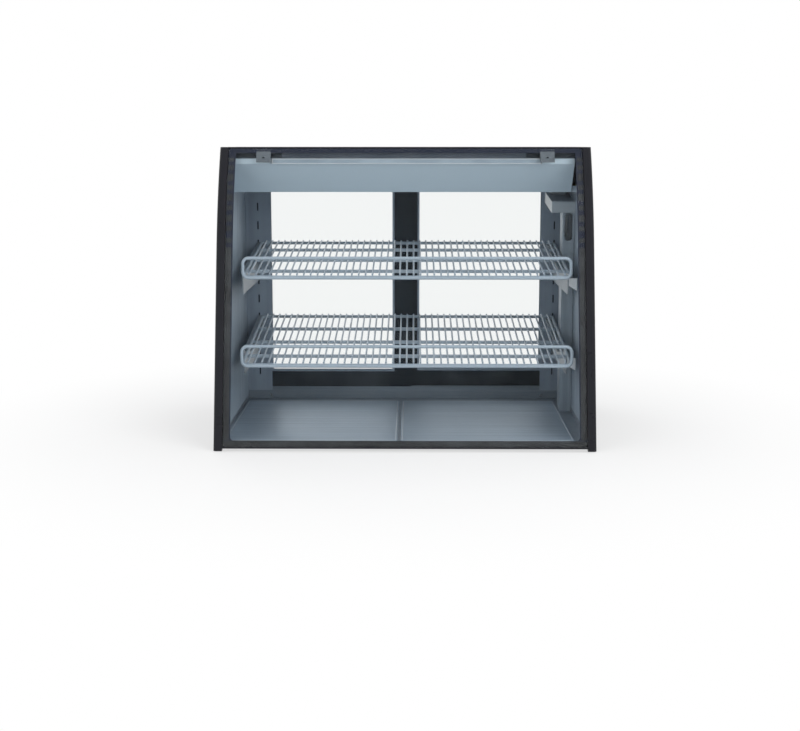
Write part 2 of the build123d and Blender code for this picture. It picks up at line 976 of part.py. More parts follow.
# Rear cover with louvres and cut-outs for the controls
cover_back = cover_setback + skin
cover_low = header_height + frame_skin
with BuildPart() as rear_cover:
    block((-inner_half, inner_half), (cover_setback, cover_back), (cover_low, top_sheet))
    with BuildSketch(rear_plane(cover_setback)):
        with Locations((-louvre_centre, control_height)):
            with GridLocations(louvre_length + 14, louvre_pitch, louvre_columns, louvre_rows):
                SlotOverall(louvre_length, louvre_height)
        with Locations((-knob_column, control_height)):
            Circle(shaft_radius + 1)
        with Locations((-switch_column, control_height)):
            Rectangle(switch_width, switch_height)
        with Locations((-inlet_column, control_height)):
            Rectangle(inlet_width, inlet_height)
    extrude(amount=skin, mode=Mode.SUBTRACT)
save(rear_cover, "rear_cover")

with BuildPart() as casing_screws:
    with BuildSketch(rear_plane(cover_back)):
        with Locations(*[(-x, height) for x in screw_columns for height in screw_heights]):
            Circle(screw_head)
    extrude(amount=2.2)
    fillet(casing_screws.faces().sort_by(Axis.Y)[-1].edges(), radius=1)
    with BuildSketch(rear_plane(rear_wall)):
        screw_column = opening_half + 3
        with Locations((-screw_column, sill_screw_height), (screw_column, sill_screw_height)):
            Circle(screw_head - 0.5)
    extrude(amount=-2)
save(casing_screws, "casing_screws")

sensor_spot = spot(sum(post_span) / 2, post_rear - duct_skin - sensor_radius, hole_height)
with BuildPart() as thermostat:
    with Locations(sensor_spot):
        Cylinder(sensor_radius, sensor_length)
    block(
        (knob_column - thermostat_size / 2, knob_column + thermostat_size / 2),
        (cover_setback - thermostat_depth, cover_setback),
        (control_height - 15, control_height + 15),
    )
    with BuildSketch(rear_plane(cover_setback)):
        with Locations((-knob_column, control_height)):
            Circle(shaft_radius)
    extrude(amount=skin + 9)
save(thermostat, "thermostat")

with BuildPart() as thermostat_knob:
    with BuildSketch(rear_plane(cover_back + 0.5)):
        with Locations((-knob_column, control_height)):
            Circle(knob_radius)
    extrude(amount=knob_depth)
    fillet(thermostat_knob.faces().sort_by(Axis.Y)[-1].edges(), radius=2)
    with BuildSketch(rear_plane(cover_back + 0.5)):
        with Locations((-knob_column, control_height)):
            Circle(shaft_radius + bore_clearance)
    extrude(amount=9, mode=Mode.SUBTRACT)
    with BuildSketch(rear_plane(cover_back + 4)):
        with Locations((-knob_column, control_height)):
            with PolarLocations(knob_radius + 0.6, 18):
                Circle(1.6)
    extrude(amount=knob_depth, mode=Mode.SUBTRACT)
save(thermostat_knob, "thermostat_knob")

switch_span = (switch_column - switch_width / 2, switch_column + switch_width / 2)
switch_heights = (control_height - switch_height / 2, control_height + switch_height / 2)
rocker_setback = cover_back - 2
with BuildPart() as switch_housing:
    block(switch_span, (cover_setback - 18, cover_back), switch_heights)
    block(
        (switch_span[0] - 2, switch_span[1] + 2),
        (cover_back, cover_back + 1.5),
        (switch_heights[0] - 2, switch_heights[1] + 2),
    )
    block(
        (switch_column - rocker_width / 2 - 0.4, switch_column + rocker_width / 2 + 0.4),
        (cover_back - 10, cover_back + 1.5),
        (control_height - rocker_half - 1, control_height + rocker_half + 1),
        mode=Mode.SUBTRACT,
    )
    with BuildSketch(side_plane(switch_span[0])):
        with Locations((rocker_setback, control_height)):
            Circle(rocker_pin)
    extrude(amount=switch_width)
save(switch_housing, "switch_housing")

rocker_end = rocker_half - 0.7
rocker_root = 4
rocker_lip = 5.4
rocker_dip = 3.6
tilted = side_plane(switch_column - rocker_width / 2)
rocker_origin = tilted.from_local_coords((rocker_setback, control_height, 0))
rocker_x = (0, math.cos(rocker_tilt), math.sin(rocker_tilt))
with BuildPart() as light_switch:
    with BuildSketch(Plane(origin=rocker_origin, x_dir=rocker_x, z_dir=(1, 0, 0))):
        with BuildLine():
            Polyline(
                (-rocker_root, -3),
                (-rocker_root, 3),
                (1, rocker_end),
                (rocker_lip, rocker_end),
                (rocker_dip, 0),
                (rocker_lip, -rocker_end),
                (1, -rocker_end),
                close=True,
            )
        make_face()
        Circle(rocker_pin + bore_clearance, mode=Mode.SUBTRACT)
    extrude(amount=rocker_width)
save(light_switch, "light_switch")

inlet_span = (inlet_column - inlet_width / 2, inlet_column + inlet_width / 2)
with BuildPart() as power_inlet:
    block(
        inlet_span,
        (cover_setback - 20, cover_back + 2),
        (control_height - inlet_height / 2, control_height + inlet_height / 2),
    )
    block(
        (inlet_span[0] + inlet_wall, inlet_span[1] - inlet_wall),
        (cover_back - 14, cover_back + 2),
        (control_height - 8.5, control_height + 8.5),
        mode=Mode.SUBTRACT,
    )
    for x, height in ((-7, -2), (0, 2), (7, -2)):
        centre = inlet_column + x
        block(
            (centre - 1, centre + 1),
            (cover_back - 15, cover_back - 1),
            (control_height + height - 2, control_height + height + 2),
        )
save(power_inlet, "power_inlet")


# Compressor on its rubber mounts
compressor_height = canopy_floor + 8 + compressor_radius
with BuildPart() as compressor:
    with BuildSketch(side_plane(compressor_column - compressor_length / 2)):
        with Locations((compressor_setback, compressor_height)):
            Circle(compressor_radius)
    extrude(amount=compressor_length)
    fillet(compressor.edges().filter_by(GeomType.CIRCLE), radius=16)
    for x in (-60, 60):
        block(
            (compressor_column + x - 15, compressor_column + x + 15),
            (compressor_setback - 50, compressor_setback + 50),
            (canopy_floor + 6, canopy_floor + 9),
        )
        block(
            (compressor_column + x - 4, compressor_column + x + 4),
            (compressor_setback - 25, compressor_setback + 25),
            (canopy_floor + 9, compressor_height - compressor_radius / 2),
        )
save(compressor, "compressor")

with BuildPart() as compressor_mounts:
    mount_spots = [
        spot(compressor_column + x, compressor_setback + y, canopy_floor + 3)
        for x in (-60, 60)
        for y in (-42, 42)
    ]
    with Locations(*mount_spots):
        Cylinder(9, 6)
save(compressor_mounts, "compressor_mounts")


def finned_coil(left, right, front, rear, low, tubes):
    """Makes a finned coil: two end plates, fins and the tubes that run through them."""
    high = canopy_floor + coil_height
    with BuildPart() as coil:
        fin_count = int((right - left) / 6)
        fin_step = (right - left - 1) / (fin_count - 1)
        for index in range(fin_count):
            fin_left = left + index * fin_step
            block((fin_left, fin_left + 1), (front, rear), (low, high))
        with BuildSketch(side_plane(left - 6)):
            with Locations(((front + rear) / 2, (low + high) / 2)):
                with GridLocations((rear - front) / 2, (high - low) / tubes, 2, tubes):
                    Circle(4)
        extrude(amount=right - left + 12)
    return coil


condenser_coil = finned_coil(
    condenser_left, condenser_right, condenser_front, condenser_rear, canopy_floor, 4
)
save(condenser_coil, "condenser_coil")

fan_height = canopy_floor + 6 + fan_radius


def fan_motor(plane, mount):
    """Makes a motor with its shaft on a plane, standing on a bracket drawn by mount."""
    with BuildPart() as motor:
        with BuildSketch(plane):
            Circle(16)
        extrude(amount=-28)
        with BuildSketch(plane):
            Circle(shaft_end_radius)
        extrude(amount=9)
        mount()
    return motor


def fan_blades(plane):
    """Makes a fan of five tilted blades around a hub that turns on the motor's shaft."""
    with BuildPart() as fan:
        with BuildSketch(plane.offset(1)):
            Circle(fan_hub)
        extrude(amount=10)
        for index in range(blade_count):
            turn = 2 * math.pi * index / blade_count
            along = plane.x_dir * math.cos(turn) + plane.y_dir * math.sin(turn)
            across = plane.y_dir * math.cos(turn) - plane.x_dir * math.sin(turn)
            blade = Plane(
                origin=plane.offset(6).origin,
                x_dir=along,
                z_dir=plane.z_dir * math.cos(blade_pitch) + across * math.sin(blade_pitch),
            )
            with BuildSketch(blade.offset(-0.7)):
                with Locations(((fan_radius + fan_hub - 3) / 2, 0)):
                    RectangleRounded(fan_radius - fan_hub + 3, 20, 5)
            extrude(amount=1.4)
        with BuildSketch(plane):
            Circle(shaft_end_radius + bore_clearance)
        extrude(amount=10, mode=Mode.SUBTRACT)
    return fan


condenser_fan_column = (condenser_left + condenser_right) / 2
condenser_fan_plane = Plane(
    origin=spot(condenser_fan_column, condenser_fan_setback, fan_height),
    x_dir=(1, 0, 0),
    z_dir=(0, 1, 0),
)


def condenser_motor_mount():
    """Adds the foot and the shroud of the condenser fan's motor."""
    block(
        (condenser_fan_column - 10, condenser_fan_column + 10),
        (condenser_fan_setback - 25, condenser_fan_setback - 5),
        (canopy_floor, fan_height - 12),
    )


save(fan_motor(condenser_fan_plane, condenser_motor_mount), "condenser_fan_motor")
save(fan_blades(condenser_fan_plane), "condenser_fan")

# Evaporator above the right side of the ceiling, over its drip tray
tray_heights = (canopy_floor, canopy_floor + tray_depth)
with BuildPart() as drip_tray:
    block((tray_left, tray_right), (tray_front, tray_rear), tray_heights)
    block(
        (tray_left + tray_skin, tray_right - tray_skin),
        (tray_front + tray_skin, tray_rear - tray_skin),
        (canopy_floor + tray_skin, canopy_floor + tray_depth),
        mode=Mode.SUBTRACT,
    )
save(drip_tray, "drip_tray")

evaporator_low = canopy_floor + tray_skin
evaporator_coil = finned_coil(
    tray_left + 12, tray_right - 12, tray_front + 8, tray_rear - 60, evaporator_low, 3
)
save(evaporator_coil, "evaporator_coil")

evaporator_fan_plane = Plane(
    origin=spot(evaporator_fan_column, evaporator_fan_setback, fan_height),
    x_dir=(0, 1, 0),
    z_dir=(-1, 0, 0),
)


def evaporator_motor_mount():
    """Adds the foot of the evaporator fan's motor."""
    block(
        (evaporator_fan_column + 7, evaporator_fan_column + 22),
        (evaporator_fan_setback - 10, evaporator_fan_setback + 10),
        (canopy_floor, fan_height - 12),
    )


save(fan_motor(evaporator_fan_plane, evaporator_motor_mount), "evaporator_fan_motor")
save(fan_blades(evaporator_fan_plane), "evaporator_fan")


# Refrigerant lines: discharge, liquid with its drier, and suction
def copper_line(*points):
    """Makes a bent copper tube through points given by x, setback and height."""
    path_points = [spot(*point) for point in points]
    with BuildPart() as line:
        with BuildLine():
            path = FilletPolyline(*path_points, radius=line_bend)
        with BuildSketch(Plane(origin=path @ 0, z_dir=path % 0)):
            Circle(line_radius)
        sweep(path=path)
    return line


stub = compressor_column + compressor_length / 2
suction_height = fan_height + 20
suction_rise = suction_height - compressor_height - line_radius
suction_end = compressor_setback - math.sqrt(compressor_radius**2 - suction_rise**2) - 0.1
discharge_line = copper_line(
    (stub, compressor_setback, compressor_height),
    (stub + 22, compressor_setback, compressor_height),
    (stub + 22, line_setback, compressor_height),
    (condenser_left - 6, line_setback, compressor_height),
)
drier_height = canopy_floor + 12
drier_column = condenser_right + 40
liquid_height = drier_height + 30
liquid_line = copper_line(
    (condenser_right + 6, line_setback, drier_height),
    (drier_column, line_setback, drier_height),
    (drier_column, liquid_setback, drier_height),
    (drier_column, liquid_setback, liquid_height),
    (tray_left + 6, liquid_setback, liquid_height),
)
suction_column = tray_left - 60
suction_line = copper_line(
    (tray_left + 6, suction_setback, suction_height),
    (suction_column, suction_setback, suction_height),
    (suction_column, suction_setback - 20, suction_height),
    (compressor_column, suction_setback - 20, suction_height),
    (compressor_column, suction_end, suction_height),
)
with BuildPart() as refrigerant_lines:
    add(discharge_line.part)
    add(liquid_line.part)
    add(suction_line.part)
    with Locations(spot(drier_column, (line_setback + liquid_setback) / 2, drier_height)):
        Cylinder(drier_radius, drier_length, rotation=(90, 0, 0))
save(refrigerant_lines, "refrigerant_lines")
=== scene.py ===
"""Refrigerated bakery display case: finishes, fine pieces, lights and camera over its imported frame."""

import logging
import math
from dataclasses import dataclass
from enum import Enum

import bmesh
import bpy
from mathutils import Matrix, Vector


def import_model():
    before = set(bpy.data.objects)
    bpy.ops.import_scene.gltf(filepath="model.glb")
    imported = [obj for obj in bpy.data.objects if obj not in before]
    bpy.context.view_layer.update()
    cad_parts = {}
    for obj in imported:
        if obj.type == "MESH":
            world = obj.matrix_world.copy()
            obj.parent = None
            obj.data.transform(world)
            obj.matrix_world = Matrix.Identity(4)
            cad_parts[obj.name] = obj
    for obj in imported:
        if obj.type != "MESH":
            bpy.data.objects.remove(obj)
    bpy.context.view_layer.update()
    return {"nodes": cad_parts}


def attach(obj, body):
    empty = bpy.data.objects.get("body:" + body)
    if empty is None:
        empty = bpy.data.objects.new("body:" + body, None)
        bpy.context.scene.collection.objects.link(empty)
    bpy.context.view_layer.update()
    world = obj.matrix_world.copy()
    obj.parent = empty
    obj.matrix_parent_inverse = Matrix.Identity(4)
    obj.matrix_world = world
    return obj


LOG = logging.getLogger("display_case")
MM = 0.001

Vec3 = tuple[float, float, float]
Span = tuple[float, float]

# Scales of the shared patterns, per metre
GRAIN_ALONG = 12.0
GRAIN_ACROSS = 1300.0
BAND_SHARE = 0.07
SPECK_SCALE = 900.0
FINISH_PATCHES = 9.0
GLASS_PATCHES = 5.0
LENS_PATCHES = 14.0
LENS_RIBS = 130.0

GLASS_IOR = 1.14
DUST_TINT = (196, 200, 204)
LENS_TINT = (164, 178, 189)


def shade(red: int, green: int, blue: int) -> tuple[float, float, float, float]:
    """Turns a screen colour of 0 to 255 into Blender's linear colour.

    Args:
        red: Red share of the screen colour.
        green: Green share of the screen colour.
        blue: Blue share of the screen colour.

    Returns:
        The linear colour with full alpha.
    """
    linear = []
    for part in (red, green, blue):
        value = part / 255
        linear.append(value / 12.92 if value <= 0.04045 else ((value + 0.055) / 1.055) ** 2.4)
    return (linear[0], linear[1], linear[2], 1.0)


class Pattern(Enum):
    """How a finish varies over its surface."""

    BRUSHED_ACROSS = "brushed along X"
    BRUSHED_UP = "brushed along Z"
    COATED = "powder coated"
    MOULDED = "moulded"
    CAST = "rough cast"


class Graph:
    """Adds and joins the nodes of one node tree."""

    def __init__(self, tree: bpy.types.NodeTree) -> None:
        """Keeps the tree.

        Args:
            tree: Node tree of a material, a world or a group.
        """
        self.tree = tree

    def node(self, kind: str, inputs: dict | None = None, **settings) -> bpy.types.Node:
        """Adds one node.

        Args:
            kind: Blender's name of the node type.
            inputs: Socket names or numbers, each with a value or with the socket that feeds it.
            settings: Plain properties of the node.

        Returns:
            The new node.
        """
        made = self.tree.nodes.new(kind)
        for name, value in settings.items():
            setattr(made, name, value)
        for name, value in (inputs or {}).items():
            if isinstance(value, bpy.types.NodeSocket):
                self.tree.links.new(value, made.inputs[name])
            else:
                made.inputs[name].default_value = value
        made.location = (180 * (len(self.tree.nodes) % 9), -220 * (len(self.tree.nodes) // 9))
        return made


def start_material(name: str) -> tuple[bpy.types.Material, Graph, bpy.types.NodeSocket]:
    """Starts an empty node material.

    Args:
        name: Name of the material.

    Returns:
        The material, its graph and the socket of its Object coordinates.
    """
    material = bpy.data.materials.new(name)
    material.use_nodes = True
    material.node_tree.nodes.clear()
    graph = Graph(material.node_tree)
    return material, graph, graph.node("ShaderNodeTexCoord").outputs["Object"]


GroupStart = tuple[bpy.types.NodeTree, Graph, bpy.types.Node, bpy.types.Node]


@dataclass(frozen=True)
class Effects:
    """Node groups that several finishes share."""

    grain: bpy.types.NodeTree
    dust: bpy.types.NodeTree
    peel: bpy.types.NodeTree

    @staticmethod
    def start(name: str, inputs: dict[str, str], outputs: tuple[str, ...]) -> "GroupStart":
        """Starts a shader node group.

        Args:
            name: Name of the group.
            inputs: Names of its inputs, each with its socket type.
            outputs: Names of its value outputs.

        Returns:
            The group, its graph, its input node and its output node.
        """
        group = bpy.data.node_groups.new(name, "ShaderNodeTree")
        for label, kind in inputs.items():
            group.interface.new_socket(label, in_out="INPUT", socket_type=kind)
        for label in outputs:
            group.interface.new_socket(label, in_out="OUTPUT", socket_type="NodeSocketFloat")
        graph = Graph(group)
        return group, graph, graph.node("NodeGroupInput"), graph.node("NodeGroupOutput")

    @classmethod
    def brushed(cls) -> bpy.types.NodeTree:
        """Builds the brushed grain: long fine streaks, and broad bands where the sheet was rolled."""
        group, graph, given, out = cls.start(
            "brushed_grain",
            {"Place": "NodeSocketVector", "Stretch": "NodeSocketVector"},
            ("Streaks", "Bands"),
        )
        along = graph.node(
            "ShaderNodeVectorMath",
            {0: given.outputs["Place"], 1: given.outputs["Stretch"]},
            operation="MULTIPLY",
        )
        fine = graph.node(
            "ShaderNodeTexNoise",
            {"Vector": along.outputs[0], "Scale": 1.0, "Detail": 5.0, "Roughness": 0.7},
        )
        broad = graph.node(
            "ShaderNodeTexNoise",
            {"Vector": along.outputs[0], "Scale": BAND_SHARE, "Detail": 2.0, "Roughness": 0.5},
        )
        graph.tree.links.new(fine.outputs["Fac"], out.inputs["Streaks"])
        graph.tree.links.new(broad.outputs["Fac"], out.inputs["Bands"])
        return group

    @classmethod
    def settled(cls) -> bpy.types.NodeTree:
        """Builds the dust: soft patches broken up by fine specks, and a wiped film."""
        group, graph, given, out = cls.start(
            "settled_dust",
            {"Place": "NodeSocketVector", "Patch Scale": "NodeSocketFloat"},
            ("Dust", "Film"),
        )
        patches = graph.node(
            "ShaderNodeTexNoise",
            {
                "Vector": given.outputs["Place"],
                "Scale": given.outputs["Patch Scale"],
                "Detail": 4.0,
                "Roughness": 0.6,
            },
        )
        specks = graph.node(
            "ShaderNodeTexNoise",
            {"Vector": given.outputs["Place"], "Scale": SPECK_SCALE, "Detail": 2.0},
        )
        spread = graph.node(
            "ShaderNodeMapRange", {0: patches.outputs["Fac"], 1: 0.42, 2: 0.75, 3: 0.0, 4: 1.0}
        )
        broken = graph.node(
            "ShaderNodeMath",
            {0: spread.outputs[0], 1: specks.outputs["Fac"]},
            operation="MULTIPLY",
        )
        graph.tree.links.new(broken.outputs[0], out.inputs["Dust"])
        graph.tree.links.new(patches.outputs["Fac"], out.inputs["Film"])
        return group

    @classmethod
    def coated(cls) -> bpy.types.NodeTree:
        """Builds the surface of powder coat and moulded plastic: a fine orange peel with pits."""
        group, graph, given, out = cls.start(
            "orange_peel",
            {"Place": "NodeSocketVector", "Fineness": "NodeSocketFloat"},
            ("Height", "Pits"),
        )
        peel = graph.node(
            "ShaderNodeTexNoise",
            {
                "Vector": given.outputs["Place"],
                "Scale": given.outputs["Fineness"],
                "Detail": 2.0,
                "Roughness": 0.45,
            },
        )
        pits = graph.node(
            "ShaderNodeTexVoronoi",
            {"Vector": given.outputs["Place"], "Scale": given.outputs["Fineness"]},
        )
        graph.tree.links.new(peel.outputs["Fac"], out.inputs["Height"])
        graph.tree.links.new(pits.outputs["Distance"], out.inputs["Pits"])
        return group

    @classmethod
    def build(cls) -> "Effects":
        """Builds every shared group once."""
        return cls(grain=cls.brushed(), dust=cls.settled(), peel=cls.coated())


@dataclass(frozen=True)
class Finish:
    """A solid surface finish.

    Attributes:
        name: Name of the material.
        colour: Main screen colour.
        worn: Screen colour of its lighter streaks, dust or worn places.
        roughness: Mean roughness.
        spread: How far the roughness varies to each side.
        metallic: Share of metal.
        pattern: How it varies over its surface.
        relief: Depth of the fine bump in metres.
        fineness: Scale of the orange peel, per metre.
        dust: Share of dust in the colour.
        gloss: Strength of its plain reflection, where 0.5 is usual.
    """

    name: str
    colour: tuple[int, int, int]
    worn: tuple[int, int, int]
    roughness: float = 0.45
    spread: float = 0.08
    metallic: float = 0.0
    pattern: Pattern = Pattern.COATED
    relief: float = 0.00002
    fineness: float = 700.0
    dust: float = 0.12
    gloss: float = 0.5

    def make(self, effects: Effects) -> bpy.types.Material:
        """Builds the material.

        Args:
            effects: The shared node groups.

        Returns:
            The finished material.
        """
        material, graph, place = start_material(self.name)
        material.diffuse_color = shade(*self.colour)
        height, tone = self.texture(graph, effects, place)
        dust = graph.node(
            "ShaderNodeGroup", {"Place": place, "Patch Scale": FINISH_PATCHES}, node_tree=effects.dust
        )
        dusty = graph.node(
            "ShaderNodeMapRange", {0: dust.outputs["Dust"], 1: 0.0, 2: 0.7, 3: 0.0, 4: self.dust}
        )
        streaked = graph.node(
            "ShaderNodeMix",
            {"Factor": tone, 6: shade(*self.colour), 7: shade(*self.worn)},
            data_type="RGBA",
        )
        coloured = graph.node(
            "ShaderNodeMix",
            {"Factor": dusty.outputs[0], 6: streaked.outputs[2], 7: shade(*DUST_TINT)},
            data_type="RGBA",
        )
        rough = graph.node(
            "ShaderNodeMapRange",
            {
                0: dust.outputs["Film"],
                1: 0.3,
                2: 0.7,
                3: max(0.02, self.roughness - self.spread),
                4: self.roughness + self.spread,
            },
        )
        bump = graph.node("ShaderNodeBump", {"Strength": 1.0, "Distance": self.relief, "Height": height})
        shader = graph.node(
            "ShaderNodeBsdfPrincipled",
            {
                "Base Color": coloured.outputs[2],
                "Roughness": rough.outputs[0],
                "Metallic": self.metallic,
                "Specular IOR Level": self.gloss,
                "Normal": bump.outputs["Normal"],
            },
        )
        graph.node("ShaderNodeOutputMaterial", {"Surface": shader.outputs["BSDF"]})
        return material

    def texture(
        self, graph: Graph, effects: Effects, place: bpy.types.NodeSocket
    ) -> tuple[bpy.types.NodeSocket, bpy.types.NodeSocket]:
        """Adds the pattern of the surface.

        Args:
            graph: Graph of the material.
            effects: The shared node groups.
            place: Socket that holds the place on the surface.

        Returns:
            Sockets of the bump's height and of the colour's tone.
        """
        if self.pattern in (Pattern.BRUSHED_ACROSS, Pattern.BRUSHED_UP):
            across = self.pattern is Pattern.BRUSHED_ACROSS
            stretch = (
                GRAIN_ALONG if across else GRAIN_ACROSS,
                GRAIN_ACROSS,
                GRAIN_ACROSS if across else GRAIN_ALONG,
            )
            grain = graph.node(
                "ShaderNodeGroup", {"Place": place, "Stretch": stretch}, node_tree=effects.grain
            )
            mixed = graph.node(
                "ShaderNodeMath",
                {0: grain.outputs["Streaks"], 1: grain.outputs["Bands"]},
                operation="MULTIPLY",
            )
            tone = graph.node(
                "ShaderNodeMapRange", {0: mixed.outputs[0], 1: 0.12, 2: 0.42, 3: 0.0, 4: 1.0}
            )
            return grain.outputs["Streaks"], tone.outputs[0]
        peel = graph.node(
            "ShaderNodeGroup", {"Place": place, "Fineness": self.fineness}, node_tree=effects.peel
        )
        height = peel.outputs["Height"]
        if self.pattern is Pattern.CAST:
            height = graph.node(
                "ShaderNodeMath", {0: height, 1: peel.outputs["Pits"]}, operation="ADD"
            ).outputs[0]
        tone = graph.node(
            "ShaderNodeMapRange", {0: peel.outputs["Height"], 1: 0.35, 2: 0.75, 3: 0.0, 4: 1.0}
        )
        return height, tone.outputs[0]


@dataclass(frozen=True)
class ClearGlass:
    """Clear glass that lets the studio light into the case.

    Attributes:
        name: Name of the material.
        tint: Linear tint of the light that passes through.
        haze: Roughness of its faint wiped film.
    """

    name: str
    tint: Vec3
    haze: float = 0.02

    def make(self, effects: Effects) -> bpy.types.Material:
        """Builds the material.

        Args:
            effects: The shared node groups.

        Returns:
            The finished material.
        """
        material, graph, place = start_material(self.name)
        dust = graph.node(
            "ShaderNodeGroup", {"Place": place, "Patch Scale": GLASS_PATCHES}, node_tree=effects.dust
        )
        film = graph.node(
            "ShaderNodeMapRange", {0: dust.outputs["Film"], 1: 0.45, 2: 0.8, 3: 0.0, 4: self.haze}
        )
        shader = graph.node(
            "ShaderNodeBsdfPrincipled",
            {
                "Base Color": (*self.tint, 1.0),
                "Roughness": film.outputs[0],
                "IOR": GLASS_IOR,
                "Transmission Weight": 1.0,
            },
        )
        clear = graph.node("ShaderNodeBsdfTransparent", {"Color": (*self.tint, 1.0)})
        path = graph.node("ShaderNodeLightPath")
        lit = graph.node(
            "ShaderNodeMath",
            {0: path.outputs["Is Shadow Ray"], 1: path.outputs["Is Diffuse Ray"]},
            operation="MAXIMUM",
        )
        mixed = graph.node(
            "ShaderNodeMixShader",
            {0: lit.outputs[0], 1: shader.outputs["BSDF"], 2: clear.outputs["BSDF"]},
        )
        graph.node("ShaderNodeOutputMaterial", {"Surface": mixed.outputs[0]})
        return material


@dataclass(frozen=True)
class FrostedLens:
    """Ribbed milky lens of the lamp, with a faint glow.

    Attributes:
        name: Name of the material.
        colour: Screen colour of the lens.
        glow: Strength of its light.
    """

    name: str
    colour: tuple[int, int, int]
    glow: float

    def make(self, effects: Effects) -> bpy.types.Material:
        """Builds the material.

        Args:
            effects: The shared node groups.

        Returns:
            The finished material.
        """
        material, graph, place = start_material(self.name)
        ribs = graph.node(
            "ShaderNodeTexWave",
            {"Vector": place, "Scale": LENS_RIBS, "Distortion": 0.0},
            bands_direction="X",
        )
        dust = graph.node(
            "ShaderNodeGroup", {"Place": place, "Patch Scale": LENS_PATCHES}, node_tree=effects.dust
        )
        tinted = graph.node(
            "ShaderNodeMix",
            {"Factor": dust.outputs["Film"], 6: shade(*self.colour), 7: shade(*LENS_TINT)},
            data_type="RGBA",
        )
        bump = graph.node(
            "ShaderNodeBump", {"Strength": 0.5, "Distance": 0.0003, "Height": ribs.outputs["Fac"]}
        )
        shader = graph.node(
            "ShaderNodeBsdfPrincipled",
            {
                "Base Color": tinted.outputs[2],
                "Roughness": 0.35,
                "Emission Color": shade(*self.colour),
                "Emission Strength": self.glow,
                "Normal": bump.outputs["Normal"],
            },
        )
        graph.node("ShaderNodeOutputMaterial", {"Surface": shader.outputs["BSDF"]})
        return material


BLACK_COAT = Finish(
    "black_powder_coat", (18, 19, 22), (28, 29, 34), 0.42, 0.06, dust=0.02, gloss=0.2
)
BLACK_TRIM = Finish(
    "black_trim", (18, 19, 25), (30, 31, 38), 0.3, 0.05, relief=0.00001, dust=0.01, gloss=0.22
)
GLASS_BORDER = Finish(
    "navy_glass_border", (42, 46, 58), (56, 60, 74), 0.5, 0.04, dust=0.01, gloss=0.0
)
LINER_STEEL = Finish(
    "stainless_liner", (154, 167, 179), (182, 194, 205), 0.5, 0.08, 0.1, Pattern.BRUSHED_UP, gloss=0.15
)
PAN_STEEL = Finish(
    "brushed_stainless", (132, 147, 162), (164, 179, 193), 0.46, 0.06, 0.5, Pattern.BRUSHED_ACROSS
)
DECK_STEEL = Finish(
    "deck_stainless", (108, 119, 131), (134, 145, 157), 0.44, 0.08, 0.4, Pattern.BRUSHED_ACROSS
)
FRAME_GREY = Finish(
    "anodised_frame", (142, 154, 168), (160, 172, 185), 0.5, 0.06, 0.1, Pattern.BRUSHED_UP, gloss=0.2
)
SILL_GREY = Finish(
    "sill_grey", (109, 120, 130), (130, 141, 151), 0.48, 0.06, 0.2, Pattern.BRUSHED_ACROSS
)
DOOR_DARK = Finish(
    "door_dark", (38, 45, 51), (48, 55, 62), 0.5, 0.06, 0.0, Pattern.BRUSHED_UP, gloss=0.1
)
RAIL_GREY = Finish(
    "rail_grey", (70, 78, 88), (88, 96, 106), 0.5, 0.06, 0.1, Pattern.BRUSHED_ACROSS, gloss=0.15
)
CLAMP_ZINC = Finish(
    "clamp_zinc", (84, 91, 97), (102, 109, 115), 0.5, 0.08, 0.2, Pattern.CAST, gloss=0.2
)
VALANCE_PAINT = Finish("valance_paint", (182, 198, 209), (190, 205, 215), 0.45, 0.05, dust=0.04)
DUCT_STEEL = Finish(
    "duct_steel", (136, 148, 158), (170, 181, 190), 0.42, 0.08, 0.4, Pattern.BRUSHED_UP
)
BOX_GREY = Finish("outlet_grey", (166, 175, 181), (182, 190, 196), 0.42, 0.06, 0.1)
GRILLE_WHITE = Finish("grille_white", (240, 242, 243), (250, 250, 250), 0.4, 0.06, dust=0.02)
WIRE_COAT = Finish(
    "wire_coat", (156, 169, 181), (176, 188, 199), 0.36, 0.06, dust=0.02, gloss=0.3
)
BRACKET_GREY = Finish(
    "bracket_grey", (132, 140, 148), (158, 166, 174), 0.42, 0.06, 0.35, Pattern.BRUSHED_ACROSS
)
ZINC = Finish(
    "galvanised", (150, 156, 161), (186, 190, 194), 0.45, 0.12, 0.7, Pattern.CAST, fineness=160.0
)
ALUMINIUM = Finish(
    "aluminium", (176, 181, 186), (206, 210, 214), 0.34, 0.08, 0.8, Pattern.BRUSHED_ACROSS
)
BRIGHT_STEEL = Finish(
    "bright_steel", (170, 174, 178), (210, 213, 216), 0.24, 0.06, 0.9, Pattern.BRUSHED_ACROSS
)
WHITE_PLASTIC = Finish(
    "white_plastic", (226, 229, 231), (240, 242, 243), 0.42, 0.05, 0.0, Pattern.MOULDED
)
BLACK_PLASTIC = Finish(
    "black_plastic", (24, 25, 27), (42, 44, 47), 0.42, 0.06, 0.0, Pattern.MOULDED, fineness=1100.0
)
RUBBER = Finish("rubber", (22, 23, 25), (38, 40, 42), 0.7, 0.08, 0.0, Pattern.CAST, 0.00004, 500.0)
FOAM = Finish("foam", (222, 206, 152), (236, 226, 186), 0.85, 0.05, 0.0, Pattern.CAST, 0.0004, 240.0)
MACHINE_BLACK = Finish(
    "machine_black", (20, 21, 23), (44, 46, 49), 0.34, 0.1, 0.0, Pattern.CAST, 0.00006, 260.0
)
COPPER = Finish("copper", (196, 122, 86), (222, 156, 120), 0.32, 0.1, 1.0, Pattern.BRUSHED_ACROSS)
PRINT_WHITE = Finish("print_white", (222, 225, 228), (236, 238, 240), 0.5, 0.05, dust=0.04)
FRONT_GLASS = ClearGlass("front_glass_clear", (0.96, 0.975, 0.98))
DOOR_GLASS = ClearGlass("door_glass_clear", (0.93, 0.935, 0.925))
LAMP_LENS = FrostedLens("lamp_lens_frosted", (112, 127, 139), 0.03)


